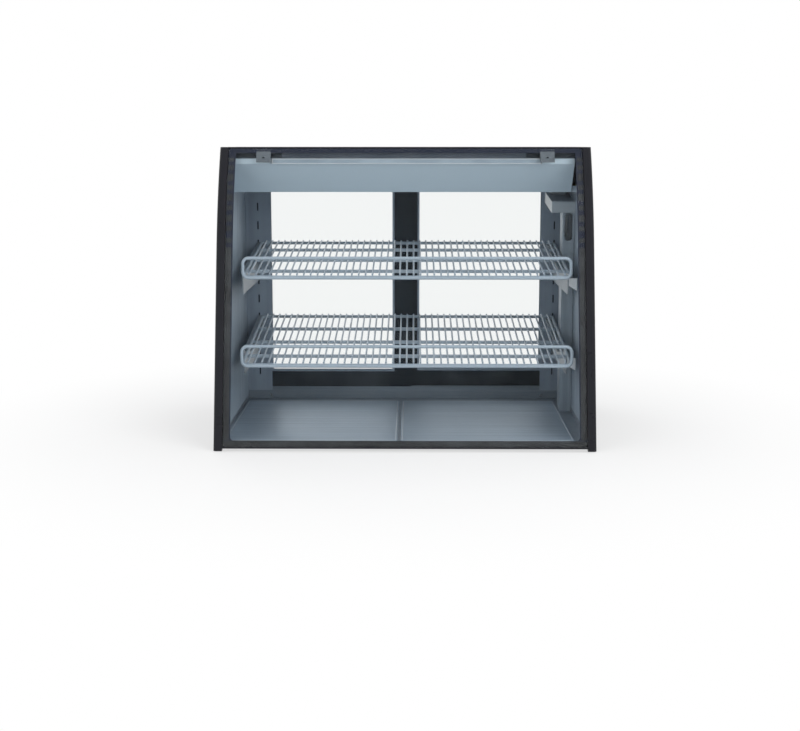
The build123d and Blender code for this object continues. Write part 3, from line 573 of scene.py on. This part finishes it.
@dataclass(frozen=True)
class Wardrobe:
    """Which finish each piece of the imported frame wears."""

    effects: Effects
    made: dict[str, bpy.types.Material]

    @classmethod
    def open(cls, effects: Effects) -> "Wardrobe":
        """Starts with no material made."""
        return cls(effects=effects, made={})

    def material(self, finish: "Finish | ClearGlass | FrostedLens") -> bpy.types.Material:
        """Gives the material of a finish, made once.

        Args:
            finish: The finish.

        Returns:
            Its material.
        """
        if finish.name not in self.made:
            self.made[finish.name] = finish.make(self.effects)
        return self.made[finish.name]

    def dress(self, nodes: dict[str, bpy.types.Object]) -> None:
        """Gives each node of the frame its finish.

        Args:
            nodes: The frame's nodes by name.
        """
        for finish, names in DRESSING:
            for name in names:
                for slot in nodes[name].material_slots:
                    slot.material = self.material(finish)
                LOG.info("dressed %s in %s", name, finish.name)
        undressed = sorted(set(nodes) - {name for _, names in DRESSING for name in names})
        if undressed:
            raise ValueError(f"nodes without a finish: {undressed}")


DRESSING = (
    (BLACK_COAT, ("left_side_panel", "right_side_panel", "top_panel", "rear_cover")),
    (BLACK_TRIM, ("left_front_trim", "right_front_trim", "front_rail", "header_cap")),
    (LINER_STEEL, ("left_side_liner", "right_side_liner", "ceiling_liner")),
    (PAN_STEEL, ("left_deck_pan", "right_deck_pan")),
    (DECK_STEEL, ("floor_liner",)),
    (FRAME_GREY, ("left_rear_jamb", "right_rear_jamb")),
    (SILL_GREY, ("rear_sill", "rear_header", "lower_door_track", "upper_door_track")),
    (DOOR_DARK, ("left_door_frame", "right_door_frame")),
    (RAIL_GREY, ("hinge_rail",)),
    (CLAMP_ZINC, ("glass_clamps",)),
    (VALANCE_PAINT, ("valance",)),
    (DUCT_STEEL, ("return_duct",)),
    (BOX_GREY, ("outlet_duct",)),
    (GRILLE_WHITE, ("outlet_grille", "led_board")),
    (WIRE_COAT, ("upper_shelf", "lower_shelf")),
    (BRACKET_GREY, ("shelf_brackets",)),
    (ZINC, ("base_pan", "drip_tray")),
    (ALUMINIUM, ("lamp_housing", "condenser_coil", "evaporator_coil")),
    (BRIGHT_STEEL, ("hinge_rod", "casing_screws")),
    (WHITE_PLASTIC, ("thermostat", "left_door_glides", "right_door_glides")),
    (
        BLACK_PLASTIC,
        (
            "thermostat_knob",
            "switch_housing",
            "light_switch",
            "power_inlet",
            "condenser_fan",
            "evaporator_fan",
        ),
    ),
    (RUBBER, ("feet", "glass_gasket", "compressor_mounts")),
    (FOAM, ("insulation",)),
    (MACHINE_BLACK, ("compressor", "condenser_fan_motor", "evaporator_fan_motor")),
    (COPPER, ("refrigerant_lines",)),
    (FRONT_GLASS, ("front_glass",)),
    (DOOR_GLASS, ("left_door_pane", "right_door_pane")),
    (LAMP_LENS, ("lamp_lens",)),
)


@dataclass(frozen=True)
class Profile:
    """Bent front of the case, in millimetres: a leaning line that runs into an arc.

    Attributes:
        front: Y of the foremost edge.
        base: Height of the case above the floor.
        lean: Lean of the straight part, in radians.
        straight: Height where the bend starts.
        radius: Radius of the bend.
    """

    front: float = 6 * math.tan(math.radians(14.5)) - 320
    base: float = 8
    lean: float = math.radians(14.5)
    straight: float = 464
    radius: float = 845

    def setback(self, height: float, inset: float) -> float:
        """Gives the setback of the front.

        Args:
            height: Height above the base pan's underside.
            inset: Distance inwards along the front's normal.

        Returns:
            The setback from the foremost edge.
        """
        if height <= self.straight - inset * math.sin(self.lean):
            return height * math.tan(self.lean) + inset / math.cos(self.lean)
        middle = self.straight * math.tan(self.lean) + self.radius * math.cos(self.lean)
        rise = height - (self.straight - self.radius * math.sin(self.lean))
        return middle - math.sqrt((self.radius - inset) ** 2 - rise**2)

    def place(self, x: float, setback: float, height: float) -> Vector:
        """Gives a point of the frame in metres from x, setback and height."""
        return Vector((x, self.front + setback, self.base + height)) * MM


PROFILE = Profile()


class Shaper:
    """Holds one bmesh while a piece is shaped, and turns it into a finished piece."""

    def __init__(self, name: str) -> None:
        """Starts an empty piece.

        Args:
            name: Name of the piece.
        """
        self.name = name
        self.mesh = bmesh.new()

    def block(
        self, x: Span, setback: Span, height: Span, round_off: float = 0.0, segments: int = 2
    ) -> list[bmesh.types.BMVert]:
        """Adds a block between two points, with its edges rounded.

        Args:
            x: Lowest and highest x in millimetres.
            setback: Lowest and highest setback.
            height: Lowest and highest height.
            round_off: Radius of its edges in millimetres.
            segments: Faces across each rounded edge.

        Returns:
            The new vertices.
        """
        low = PROFILE.place(x[0], setback[0], height[0])
        high = PROFILE.place(x[1], setback[1], height[1])
        made = bmesh.ops.create_cube(self.mesh, size=1.0)["verts"]
        bmesh.ops.scale(self.mesh, vec=high - low, verts=made)
        bmesh.ops.translate(self.mesh, vec=(low + high) / 2, verts=made)
        if round_off:
            edges = list({edge for vert in made for edge in vert.link_edges})
            rounded = bmesh.ops.bevel(
                self.mesh,
                geom=edges,
                offset=round_off * MM,
                offset_type="OFFSET",
                segments=segments,
                profile=0.5,
                affect="EDGES",
                material=-1,
            )
            made = list({vert for face in rounded["faces"] for vert in face.verts})
        return made

    def ring(self, x: Span, setback: Span, height: Span, width: float, corner: float) -> None:
        """Adds a flat rectangular ring that faces along Y, with rounded corners inside.

        Args:
            x: Lowest and highest x of its opening in millimetres.
            setback: Front and rear setback.
            height: Lowest and highest height of its opening.
            width: Width of the ring outside the opening.
            corner: Radius of the opening's corners.
        """
        middle = PROFILE.place(sum(x) / 2, setback[0], sum(height) / 2)
        sizes = ((x[1] - x[0]) * MM, (height[1] - height[0]) * MM)
        loops = []
        for grow in (2 * width * MM, 0.0):
            made = bmesh.ops.create_grid(self.mesh, x_segments=1, y_segments=1, size=0.5)["verts"]
            face = made[0].link_faces[0]
            bmesh.ops.delete(self.mesh, geom=[face], context="FACES_ONLY")
            bmesh.ops.scale(self.mesh, vec=(sizes[0] + grow, sizes[1] + grow, 1), verts=made)
            if corner and not grow:
                made = bmesh.ops.bevel(
                    self.mesh,
                    geom=made,
                    offset=corner * MM,
                    segments=4,
                    profile=0.5,
                    affect="VERTICES",
                    material=-1,
                )["verts"]
            bmesh.ops.rotate(
                self.mesh, cent=(0, 0, 0), matrix=Matrix.Rotation(math.pi / 2, 3, "X"), verts=made
            )
            bmesh.ops.translate(self.mesh, vec=middle, verts=made)
            loops += list({edge for vert in made for edge in vert.link_edges})
        faces = bmesh.ops.triangle_fill(self.mesh, use_beauty=True, edges=loops)["geom"]
        flat = [item for item in faces if isinstance(item, bmesh.types.BMFace)]
        pulled = bmesh.ops.extrude_face_region(self.mesh, geom=flat)["geom"]
        verts = [item for item in pulled if isinstance(item, bmesh.types.BMVert)]
        bmesh.ops.translate(self.mesh, vec=(0, (setback[1] - setback[0]) * MM, 0), verts=verts)

    def finish(
        self, material: bpy.types.Material, body: str, slot: str, smooth: bool = False
    ) -> bpy.types.Object:
        """Closes the piece, dresses it and lets it ride on its body.

        Args:
            material: Its material.
            body: Body of the frame that it moves with.
            slot: The record's material slot; not used.
            smooth: Whether its faces are shaded smooth.

        Returns:
            The finished piece.
        """
        bmesh.ops.remove_doubles(self.mesh, verts=self.mesh.verts, dist=1e-6)
        bmesh.ops.recalc_face_normals(self.mesh, faces=self.mesh.faces)
        for face in self.mesh.faces:
            face.smooth = smooth
        data = bpy.data.meshes.new(self.name)
        self.mesh.to_mesh(data)
        self.mesh.free()
        data.materials.append(material)
        piece = bpy.data.objects.new(self.name, data)
        bpy.context.scene.collection.objects.link(piece)
        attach(piece, body)
        LOG.info("made %s: %d faces, rides on %s", self.name, len(data.polygons), body)
        return piece


@dataclass
class GlassBorder:
    """Dark printed border behind the edges of the front glass, bent with it.

    Attributes:
        half: Half its outer width.
        clear_half: Half the width of the clear window.
        low: Height of its lower edge.
        clear_low: Height of the window's lower edge.
        clear_high: Height of the window's upper edge.
        high: Height of its upper edge.
        inset: Distance of its front behind the case's front.
        thickness: Thickness of the print.
        corner: Radius of the window's corners.
        step: Height of one bent strip.
    """

    half: float = 434.6
    clear_half: float = 417.6
    low: float = 4.6
    clear_low: float = 16.5
    clear_high: float = 694
    high: float = 704.6
    inset: float = 8.35
    thickness: float = 0.25
    corner: float = 9
    step: float = 16

    def build(self, wardrobe: Wardrobe) -> None:
        """Makes the border.

        Args:
            wardrobe: Gives its material.
        """
        shaper = Shaper("glass_border")
        mesh = shaper.mesh
        loops = []
        for x, low, high, corner in (
            (self.half, self.low, self.high, 0),
            (self.clear_half, self.clear_low, self.clear_high, self.corner),
        ):
            made = bmesh.ops.create_grid(mesh, x_segments=1, y_segments=1, size=0.5)["verts"]
            bmesh.ops.delete(mesh, geom=[made[0].link_faces[0]], context="FACES_ONLY")
            bmesh.ops.scale(mesh, vec=(2 * x, high - low, 1), verts=made)
            bmesh.ops.translate(mesh, vec=(0, (low + high) / 2, 0), verts=made)
            if corner:
                made = bmesh.ops.bevel(
                    mesh,
                    geom=[vert for vert in made if vert.co.y < (low + high) / 2],
                    offset=corner,
                    segments=5,
                    profile=0.5,
                    affect="VERTICES",
                    material=-1,
                )["verts"] + [vert for vert in made if vert.is_valid and vert.co.y > low + corner]
            loops += list({edge for vert in made for edge in vert.link_edges})
        bmesh.ops.triangle_fill(mesh, use_beauty=True, edges=loops)
        cut = self.clear_low + self.corner + 2
        while cut < self.high:
            bmesh.ops.bisect_plane(
                mesh,
                geom=list(mesh.verts) + list(mesh.edges) + list(mesh.faces),
                dist=1e-5,
                plane_co=(0, cut, 0),
                plane_no=(0, 1, 0),
            )
            cut += self.step
        flat = list(mesh.faces)
        back = bmesh.ops.extrude_face_region(mesh, geom=flat)["geom"]
        rear = {item for item in back if isinstance(item, bmesh.types.BMVert)}
        for vert in mesh.verts:
            inset = self.inset + (self.thickness if vert in rear else 0)
            setback = PROFILE.setback(vert.co.y, inset)
            vert.co = PROFILE.place(vert.co.x, setback, vert.co.y)
        shaper.finish(wardrobe.material(GLASS_BORDER), "glass", "black_plastic")


@dataclass
class HingeCovers:
    """Dark cover strips in front of the hinge rail, with the end caps of the lamp.

    Attributes:
        face: Setback of the rail's front.
        reach: Outer x of the strips.
        inner_left: Inner x of the left strip.
        inner_right: Inner x of the right strip.
        heights: Lowest and highest height.
        thickness: Thickness of the strips.
        lip: Height of the lip along their lower edge.
        cap_lefts: Left side of each end cap of the lamp.
        cap_width: Thickness of an end cap.
        cap_setback: Front and rear setback of the end caps.
        cap_heights: Lowest and highest height of the end caps.
    """

    face: float = 242
    reach: float = 435.5
    inner_left: float = -306
    inner_right: float = 298
    heights: Span = (683, 694.5)
    thickness: float = 1.2
    lip: float = 2.2
    cap_lefts: Span = (-331.4, 336)
    cap_width: float = 1.4
    cap_setback: Span = (235.2, 243)
    cap_heights: Span = (667.6, 680.4)

    def build(self, wardrobe: Wardrobe) -> None:
        """Makes both strips with the lip along their lower edge, and the lamp's end caps.

        Args:
            wardrobe: Gives their material.
        """
        shaper = Shaper("hinge_cover_strips")
        depth = (self.face - self.thickness, self.face + 0.05)
        for span in ((-self.reach, self.inner_left), (self.inner_right, self.reach)):
            shaper.block(span, depth, self.heights, 0.4)
            edge = (self.heights[0], self.heights[0] + self.lip)
            shaper.block(span, (self.face - 2.2, self.face - 1), edge, 0.4)
        shaper.finish(wardrobe.material(DOOR_DARK), "case", "grey_metal")

        caps = Shaper("lamp_end_caps")
        for left in self.cap_lefts:
            caps.block((left, left + self.cap_width), self.cap_setback, self.cap_heights, 0.5)
        caps.finish(wardrobe.material(RAIL_GREY), "case", "aluminium")


@dataclass
class DoorDetails:
    """Glazing beads and the finger pull's rim of one sliding door.

    Attributes:
        name: left or right.
        front: Setback of the door's front face.
        window: Lowest and highest x of its window.
        pull: Lowest and highest x of its finger pull.
        body: Body that the door is.
        thickness: Thickness of the door.
        heights: Lowest and highest height of the window.
        pull_heights: Lowest and highest height of the finger pull.
        bead_inset: How far a bead's opening stays inside the window.
        bead_width: Width of a bead.
        bead_depth: Depth of a bead.
        rim_width: Width of the finger pull's rim.
        rim_depth: Depth of the finger pull's rim.
    """

    name: str
    front: float
    window: Span
    pull: Span
    body: str
    thickness: float = 13
    heights: Span = (89, 592)
    pull_heights: Span = (285, 375)
    bead_inset: float = 2.4
    bead_width: float = 5.4
    bead_depth: float = 0.75
    rim_width: float = 3
    rim_depth: float = 0.85

    def build(self, wardrobe: Wardrobe) -> None:
        """Makes the beads and the rim.

        Args:
            wardrobe: Gives their materials.
        """
        beads = Shaper(f"{self.name}_glazing_beads")
        inner = (self.window[0] + self.bead_inset, self.window[1] - self.bead_inset)
        heights = (self.heights[0] + self.bead_inset, self.heights[1] - self.bead_inset)
        for face in (self.front - 0.7, self.front + self.thickness - 0.05):
            beads.ring(inner, (face, face + self.bead_depth), heights, self.bead_width, 3)
        beads.finish(wardrobe.material(FRAME_GREY), self.body, "aluminium")

        rim = Shaper(f"{self.name}_pull_rim")
        back = self.front + self.thickness - 0.05
        rim.ring(self.pull, (back, back + self.rim_depth), self.pull_heights, self.rim_width, 5)
        rim.finish(wardrobe.material(BLACK_PLASTIC), self.body, "black_plastic")


@dataclass
class CoverDetails:
    """Louvre lips, dial marks and switch marks on the rear cover.

    Attributes:
        face: Setback of the cover's outer face.
        height: Height of the controls.
        knob_x: X of the thermostat knob.
        switch_x: X of the light switch.
        louvre_x: X of the louvres' middle.
        column_pitch: Distance between two columns of louvres.
        row_pitch: Distance between two rows of louvres.
        half_lip: Half the length of a louvre's lip.
        knob_depth: How far the knob stands out from the cover.
        last_mark: Highest number on the dial.
        tick_radius: Distance of the dial's ticks from its middle, in metres.
        number_radius: Distance of the dial's numbers from its middle, in metres.
    """

    face: float = 623.5
    height: float = 670
    knob_x: float = 330
    switch_x: float = 270
    louvre_x: float = -120
    column_pitch: float = 74
    row_pitch: float = 12
    half_lip: float = 29
    knob_depth: float = 13.5
    last_mark: int = 7
    tick_radius: float = 0.0195
    number_radius: float = 0.0242

    def build(self, wardrobe: Wardrobe) -> None:
        """Makes the louvre lips, the dial and the switch marks.

        Args:
            wardrobe: Gives their materials.
        """
        lips = Shaper("louvre_lips")
        for column in range(-3, 4):
            for row in range(-2, 3):
                x = self.louvre_x + column * self.column_pitch
                top = self.height + row * self.row_pitch + 3
                made = lips.block(
                    (x - self.half_lip, x + self.half_lip),
                    (self.face - 0.2, self.face + 3),
                    (top - 0.6, top + 2.4),
                    1.1,
                )
                low = min(vert.co.z for vert in made)
                for vert in made:
                    vert.co.y -= (vert.co.z - low) * 0.7 * (vert.co.y > PROFILE.place(0, 625, 0).y)
        lips.finish(wardrobe.material(BLACK_COAT), "case", "black_metal", smooth=True)
        self.dial(wardrobe)
        self.switch(wardrobe)

    def dial(self, wardrobe: Wardrobe) -> None:
        """Makes the dial's numbers and ticks, and the knob's pointer.

        Args:
            wardrobe: Gives their material.
        """
        dial = Shaper("dial_marks")
        for index in range(self.last_mark + 1):
            turn = math.radians(225 - index * 270 / self.last_mark)
            outward = Vector((-math.cos(turn), 0, math.sin(turn)))
            centre = PROFILE.place(self.knob_x, self.face + 0.1, self.height)
            tick = bmesh.ops.create_cube(dial.mesh, size=1.0)["verts"]
            bmesh.ops.scale(dial.mesh, vec=Vector((2.4, 0.24, 0.7)) * MM, verts=tick)
            bmesh.ops.rotate(
                dial.mesh,
                cent=(0, 0, 0),
                matrix=Matrix.Rotation(turn - math.pi, 3, "Y"),
                verts=tick,
            )
            bmesh.ops.translate(dial.mesh, vec=centre + outward * self.tick_radius, verts=tick)
            self.number(dial, str(index), centre + outward * self.number_radius)
        dial.finish(wardrobe.material(PRINT_WHITE), "case", "white_plastic")

        pointer = Shaper("knob_pointer")
        top = self.face + self.knob_depth
        pointer.block(
            (self.knob_x - 0.9, self.knob_x + 0.9),
            (top - 0.1, top + 0.3),
            (self.height + 4, self.height + 13.4),
            0.15,
        )
        pointer.finish(wardrobe.material(PRINT_WHITE), "knob", "white_plastic")

    def number(self, dial: Shaper, text: str, centre: Vector) -> None:
        """Adds one number that reads from the rear.

        Args:
            dial: Piece that takes the number.
            text: The number.
            centre: Its middle.
        """
        curve = bpy.data.curves.new("dial_number", "FONT")
        curve.body = text
        curve.size = 5.2 * MM
        curve.extrude = 0.12 * MM
        curve.align_x = "CENTER"
        curve.align_y = "CENTER"
        holder = bpy.data.objects.new("dial_number", curve)
        bpy.context.scene.collection.objects.link(holder)
        data = bpy.data.meshes.new_from_object(
            holder.evaluated_get(bpy.context.evaluated_depsgraph_get())
        )
        turned = Matrix.Rotation(math.pi, 4, "Z") @ Matrix.Rotation(math.pi / 2, 4, "X")
        data.transform(Matrix.Translation(centre) @ turned)
        dial.mesh.from_mesh(data)
        bpy.data.objects.remove(holder)
        bpy.data.curves.remove(curve)
        bpy.data.meshes.remove(data)

    def switch(self, wardrobe: Wardrobe) -> None:
        """Makes the line and the ring on the rocker.

        Args:
            wardrobe: Gives their material.
        """
        marks = Shaper("rocker_marks")
        tilt = math.radians(8)
        pivot = PROFILE.place(self.switch_x, self.face - 2, self.height)
        bar = bmesh.ops.create_cube(marks.mesh, size=1.0)["verts"]
        bmesh.ops.scale(marks.mesh, vec=Vector((0.6, 0.2, 3.2)) * MM, verts=bar)
        bmesh.ops.translate(marks.mesh, vec=Vector((0, 4.72, -4.4)) * MM, verts=bar)
        ring = bmesh.ops.create_circle(marks.mesh, cap_ends=False, segments=20, radius=1.3 * MM)
        outer = ring["verts"]
        edges = list({edge for vert in outer for edge in vert.link_edges})
        wide = bmesh.ops.extrude_edge_only(marks.mesh, edges=edges)["geom"]
        inner = [item for item in wide if isinstance(item, bmesh.types.BMVert)]
        bmesh.ops.scale(marks.mesh, vec=(0.62, 0.62, 1), verts=inner)
        faces = [item for item in wide if isinstance(item, bmesh.types.BMFace)]
        thick = bmesh.ops.extrude_face_region(marks.mesh, geom=faces)["geom"]
        lifted = [item for item in thick if isinstance(item, bmesh.types.BMVert)]
        bmesh.ops.translate(marks.mesh, vec=(0, 0, 0.2 * MM), verts=lifted)
        round_mark = [vert for vert in marks.mesh.verts if vert not in bar]
        bmesh.ops.rotate(
            marks.mesh,
            cent=(0, 0, 0),
            matrix=Matrix.Rotation(math.pi / 2, 3, "X"),
            verts=round_mark,
        )
        bmesh.ops.translate(marks.mesh, vec=Vector((0, 4.82, 4.4)) * MM, verts=round_mark)
        bmesh.ops.rotate(
            marks.mesh,
            cent=(0, 0, 0),
            matrix=Matrix.Rotation(tilt, 3, "X"),
            verts=list(marks.mesh.verts),
        )
        bmesh.ops.translate(marks.mesh, vec=pivot, verts=list(marks.mesh.verts))
        marks.finish(wardrobe.material(PRINT_WHITE), "rocker", "white_plastic")


@dataclass
class InsideDetails:
    """White tags of the right brackets, and the pans' folded edges, whose lighter metal paints a
    highlight along them.

    Attributes:
        tag_x: Lowest and highest x of a tag.
        tag_setback: Setback of the brackets' front.
        tag_low: Heights of the two brackets' lower edge.
        pan_setbacks: Front and rear setback of the pans.
        pan_top: Height of the pans' top.
        pan_lefts: Left side of each pan.
        pan_width: Width of a pan.
        fold_inset: Distance of a fold from its pan's edge.
        half_fold: Half the width of a fold.
        tag_reach: Lowest and highest height of a tag above its bracket's lower edge.
        tag_split: Height that parts a tag's upper and lower corners.
        tag_slant: How much higher a tag's lower edge is on the left.
    """

    tag_x: Span = (410.8, 431.6)
    tag_setback: float = 245
    tag_low: Span = (343, 139.8)
    pan_setbacks: Span = (26, 543)
    pan_top: float = 14
    pan_lefts: Span = (-436, -10)
    pan_width: float = 418
    fold_inset: float = 4.2
    half_fold: float = 0.8
    tag_reach: Span = (9, 40.6)
    tag_split: float = 25
    tag_slant: float = 13

    def build(self, wardrobe: Wardrobe) -> None:
        """Makes the tags, and the folded edges in a lighter metal that paints a highlight along the
        pans' edges.

        Args:
            wardrobe: Gives their materials.
        """
        tags = Shaper("bracket_tags")
        for low in self.tag_low:
            made = tags.block(
                self.tag_x,
                (self.tag_setback - 0.7, self.tag_setback + 0.02),
                (low + self.tag_reach[0], low + self.tag_reach[1]),
                0.3,
            )
            split = PROFILE.place(0, 0, low + self.tag_split).z
            for vert in made:
                if vert.co.z < split:
                    share = (self.tag_x[1] * MM - vert.co.x) / (self.tag_x[1] - self.tag_x[0]) / MM
                    vert.co.z += share * self.tag_slant * MM
        tags.finish(wardrobe.material(GRILLE_WHITE), "case", "white_plastic")

        folds_painted_highlight = Shaper("pan_folds_painted_highlight")
        heights = (self.pan_top - 0.3, self.pan_top + 0.5)
        depth = (self.pan_setbacks[0] + self.fold_inset, self.pan_setbacks[1] - self.fold_inset)
        for left in self.pan_lefts:
            inner = (left + self.fold_inset, left + self.pan_width - self.fold_inset)
            for setback in depth:
                across = (setback - self.half_fold, setback + self.half_fold)
                folds_painted_highlight.block((inner[0] + 6, inner[1] - 6), across, heights, 0.35)
            for x in inner:
                across = (x - self.half_fold, x + self.half_fold)
                folds_painted_highlight.block(across, (depth[0] + 6, depth[1] - 6), heights, 0.35)
        # The folds are real raised strips, but they wear the lighter, shinier aluminium instead of the
        # pans' steel: a painted highlight along each pan's edge.
        folds_painted_highlight.finish(wardrobe.material(ALUMINIUM), "case", "steel", smooth=True)


@dataclass(frozen=True)
class Lamp:
    """Soft square light that faces the case and isn't seen in gloss.

    Attributes:
        name: Name of the light.
        spot: Its place in metres.
        aim: Point that it faces.
        size: Side of its square in metres.
        power: Its power in watts.
    """

    name: str
    spot: Vec3
    aim: Vec3
    size: float
    power: float

    def build(self) -> None:
        """Adds the light to the scene."""
        data = bpy.data.lights.new(self.name, "AREA")
        data.size = self.size
        data.energy = self.power
        light = bpy.data.objects.new(self.name, data)
        light.location = self.spot
        light.visible_glossy = False
        aim = Vector(self.aim) - Vector(self.spot)
        light.rotation_euler = aim.to_track_quat("-Z", "Y").to_euler()
        bpy.context.scene.collection.objects.link(light)


LAMPS = (
    Lamp("key_light", (2.2, -2.8, 2.3), (0, 0, 0.35), 2.4, 70),
    Lamp("fill_light", (-2.0, -2.6, 1.5), (0, 0, 0.35), 2.0, 22),
    Lamp("top_light", (0.0, 0.6, 3.2), (0, 0, 0.4), 2.6, 34),
    Lamp("rear_light", (-1.6, 3.0, 1.6), (0, 0, 0.4), 2.0, 24),
)


@dataclass
class Studio:
    """Pale floor, soft lights, white surroundings and the camera of the photograph.

    Attributes:
        ambient: Strength of the light from all round.
        lens: Focal length in millimetres on a 36 mm sensor.
        eye: Place of the camera in metres.
        pitch: Angle of the camera from straight down, in degrees.
        yaw: Turn of the camera to the left, in degrees.
        floor_size: Half the side of the floor, in metres.
        floor_fade: Distances at which the floor starts to whiten and is white, in metres.
        floor_white: Share of white of the floor under the case.
    """

    ambient: float = 0.4
    lens: float = 60.75
    eye: Vec3 = (0.0167, -3.45745, 0.722)
    pitch: float = 80.724
    yaw: float = 0.51
    floor_size: float = 9
    floor_fade: Span = (0.45, 1.3)
    floor_white: float = 0.6

    def build(self) -> None:
        """Makes the camera, the lights, the world and the floor."""
        data = bpy.data.cameras.new("photo_camera")
        data.lens = self.lens
        data.sensor_width = 36
        data.clip_end = 60
        camera = bpy.data.objects.new("photo_camera", data)
        camera.location = self.eye
        camera.rotation_euler = (math.radians(self.pitch), 0, math.radians(self.yaw))
        bpy.context.scene.collection.objects.link(camera)
        bpy.context.scene.camera = camera
        bpy.context.scene.view_settings.view_transform = "Standard"
        for lamp in LAMPS:
            lamp.build()
        self.world()
        self.floor()

    def world(self) -> None:
        """Makes the world: soft grey light, and white for the camera, metal and glass."""
        world = bpy.data.worlds.new("studio")
        bpy.context.scene.world = world
        world.use_nodes = True
        graph = Graph(world.node_tree)
        world.node_tree.nodes.clear()
        path = graph.node("ShaderNodeLightPath")
        seen = self.any_ray(graph, path)
        soft = graph.node(
            "ShaderNodeBackground", {"Color": (0.97, 0.985, 1.0, 1.0), "Strength": self.ambient}
        )
        white = graph.node("ShaderNodeBackground", {"Color": (1, 1, 1, 1), "Strength": 1.0})
        mixed = graph.node(
            "ShaderNodeMixShader", {0: seen, 1: soft.outputs[0], 2: white.outputs[0]}
        )
        graph.node("ShaderNodeOutputWorld", {"Surface": mixed.outputs[0]})

    @staticmethod
    def any_ray(graph: Graph, path: bpy.types.Node) -> bpy.types.NodeSocket:
        """Gives 1 for camera, glossy and transmission rays.

        Args:
            graph: Graph that takes the nodes.
            path: Its Light Path node.

        Returns:
            The socket with the answer.
        """
        first = graph.node(
            "ShaderNodeMath",
            {0: path.outputs["Is Camera Ray"], 1: path.outputs["Is Glossy Ray"]},
            operation="MAXIMUM",
        )
        second = graph.node(
            "ShaderNodeMath",
            {0: first.outputs[0], 1: path.outputs["Is Transmission Ray"]},
            operation="MAXIMUM",
        )
        return second.outputs[0]

    def floor(self) -> None:
        """Makes the floor: pale and shaded near the case, and white further out."""
        mesh = bmesh.new()
        bmesh.ops.create_grid(mesh, x_segments=8, y_segments=8, size=self.floor_size)
        data = bpy.data.meshes.new("studio_floor")
        mesh.to_mesh(data)
        mesh.free()
        floor = bpy.data.objects.new("studio_floor", data)
        bpy.context.scene.collection.objects.link(floor)
        material, graph, place = start_material("studio_floor")
        mottle = graph.node("ShaderNodeTexNoise", {"Vector": place, "Scale": 3.0, "Detail": 3.0})
        tone = graph.node(
            "ShaderNodeMix",
            {
                "Factor": mottle.outputs["Fac"],
                6: (0.86, 0.865, 0.87, 1),
                7: (0.9, 0.9, 0.9, 1),
            },
            data_type="RGBA",
        )
        matt = graph.node("ShaderNodeBsdfDiffuse", {"Color": tone.outputs[2]})
        white = graph.node("ShaderNodeEmission", {"Color": (1, 1, 1, 1), "Strength": 1.0})
        reach = graph.node("ShaderNodeVectorMath", {0: place}, operation="LENGTH")
        far = graph.node(
            "ShaderNodeMapRange",
            {
                0: reach.outputs["Value"],
                1: self.floor_fade[0],
                2: self.floor_fade[1],
                3: self.floor_white,
                4: 1.0,
            },
            interpolation_type="SMOOTHSTEP",
        )
        seen = self.any_ray(graph, graph.node("ShaderNodeLightPath"))
        share = graph.node("ShaderNodeMath", {0: far.outputs[0], 1: seen}, operation="MULTIPLY")
        mixed = graph.node(
            "ShaderNodeMixShader", {0: share.outputs[0], 1: matt.outputs[0], 2: white.outputs[0]}
        )
        graph.node("ShaderNodeOutputMaterial", {"Surface": mixed.outputs[0]})
        data.materials.append(material)


def main() -> None:
    """Loads the frame, dresses it, adds the fine pieces and sets up the studio."""
    logging.basicConfig(level=logging.INFO, format="%(name)s: %(message)s")
    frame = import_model()
    wardrobe = Wardrobe.open(Effects.build())
    wardrobe.dress(frame["nodes"])
    GlassBorder().build(wardrobe)
    HingeCovers().build(wardrobe)
    DoorDetails("left", 604.5, (-375.5, -35), (-409, -387), "left_door").build(wardrobe)
    DoorDetails("right", 621.5, (35, 375.5), (387, 409), "right_door").build(wardrobe)
    CoverDetails().build(wardrobe)
    InsideDetails().build(wardrobe)
    Studio().build()


if __name__ == "__main__":
    main()
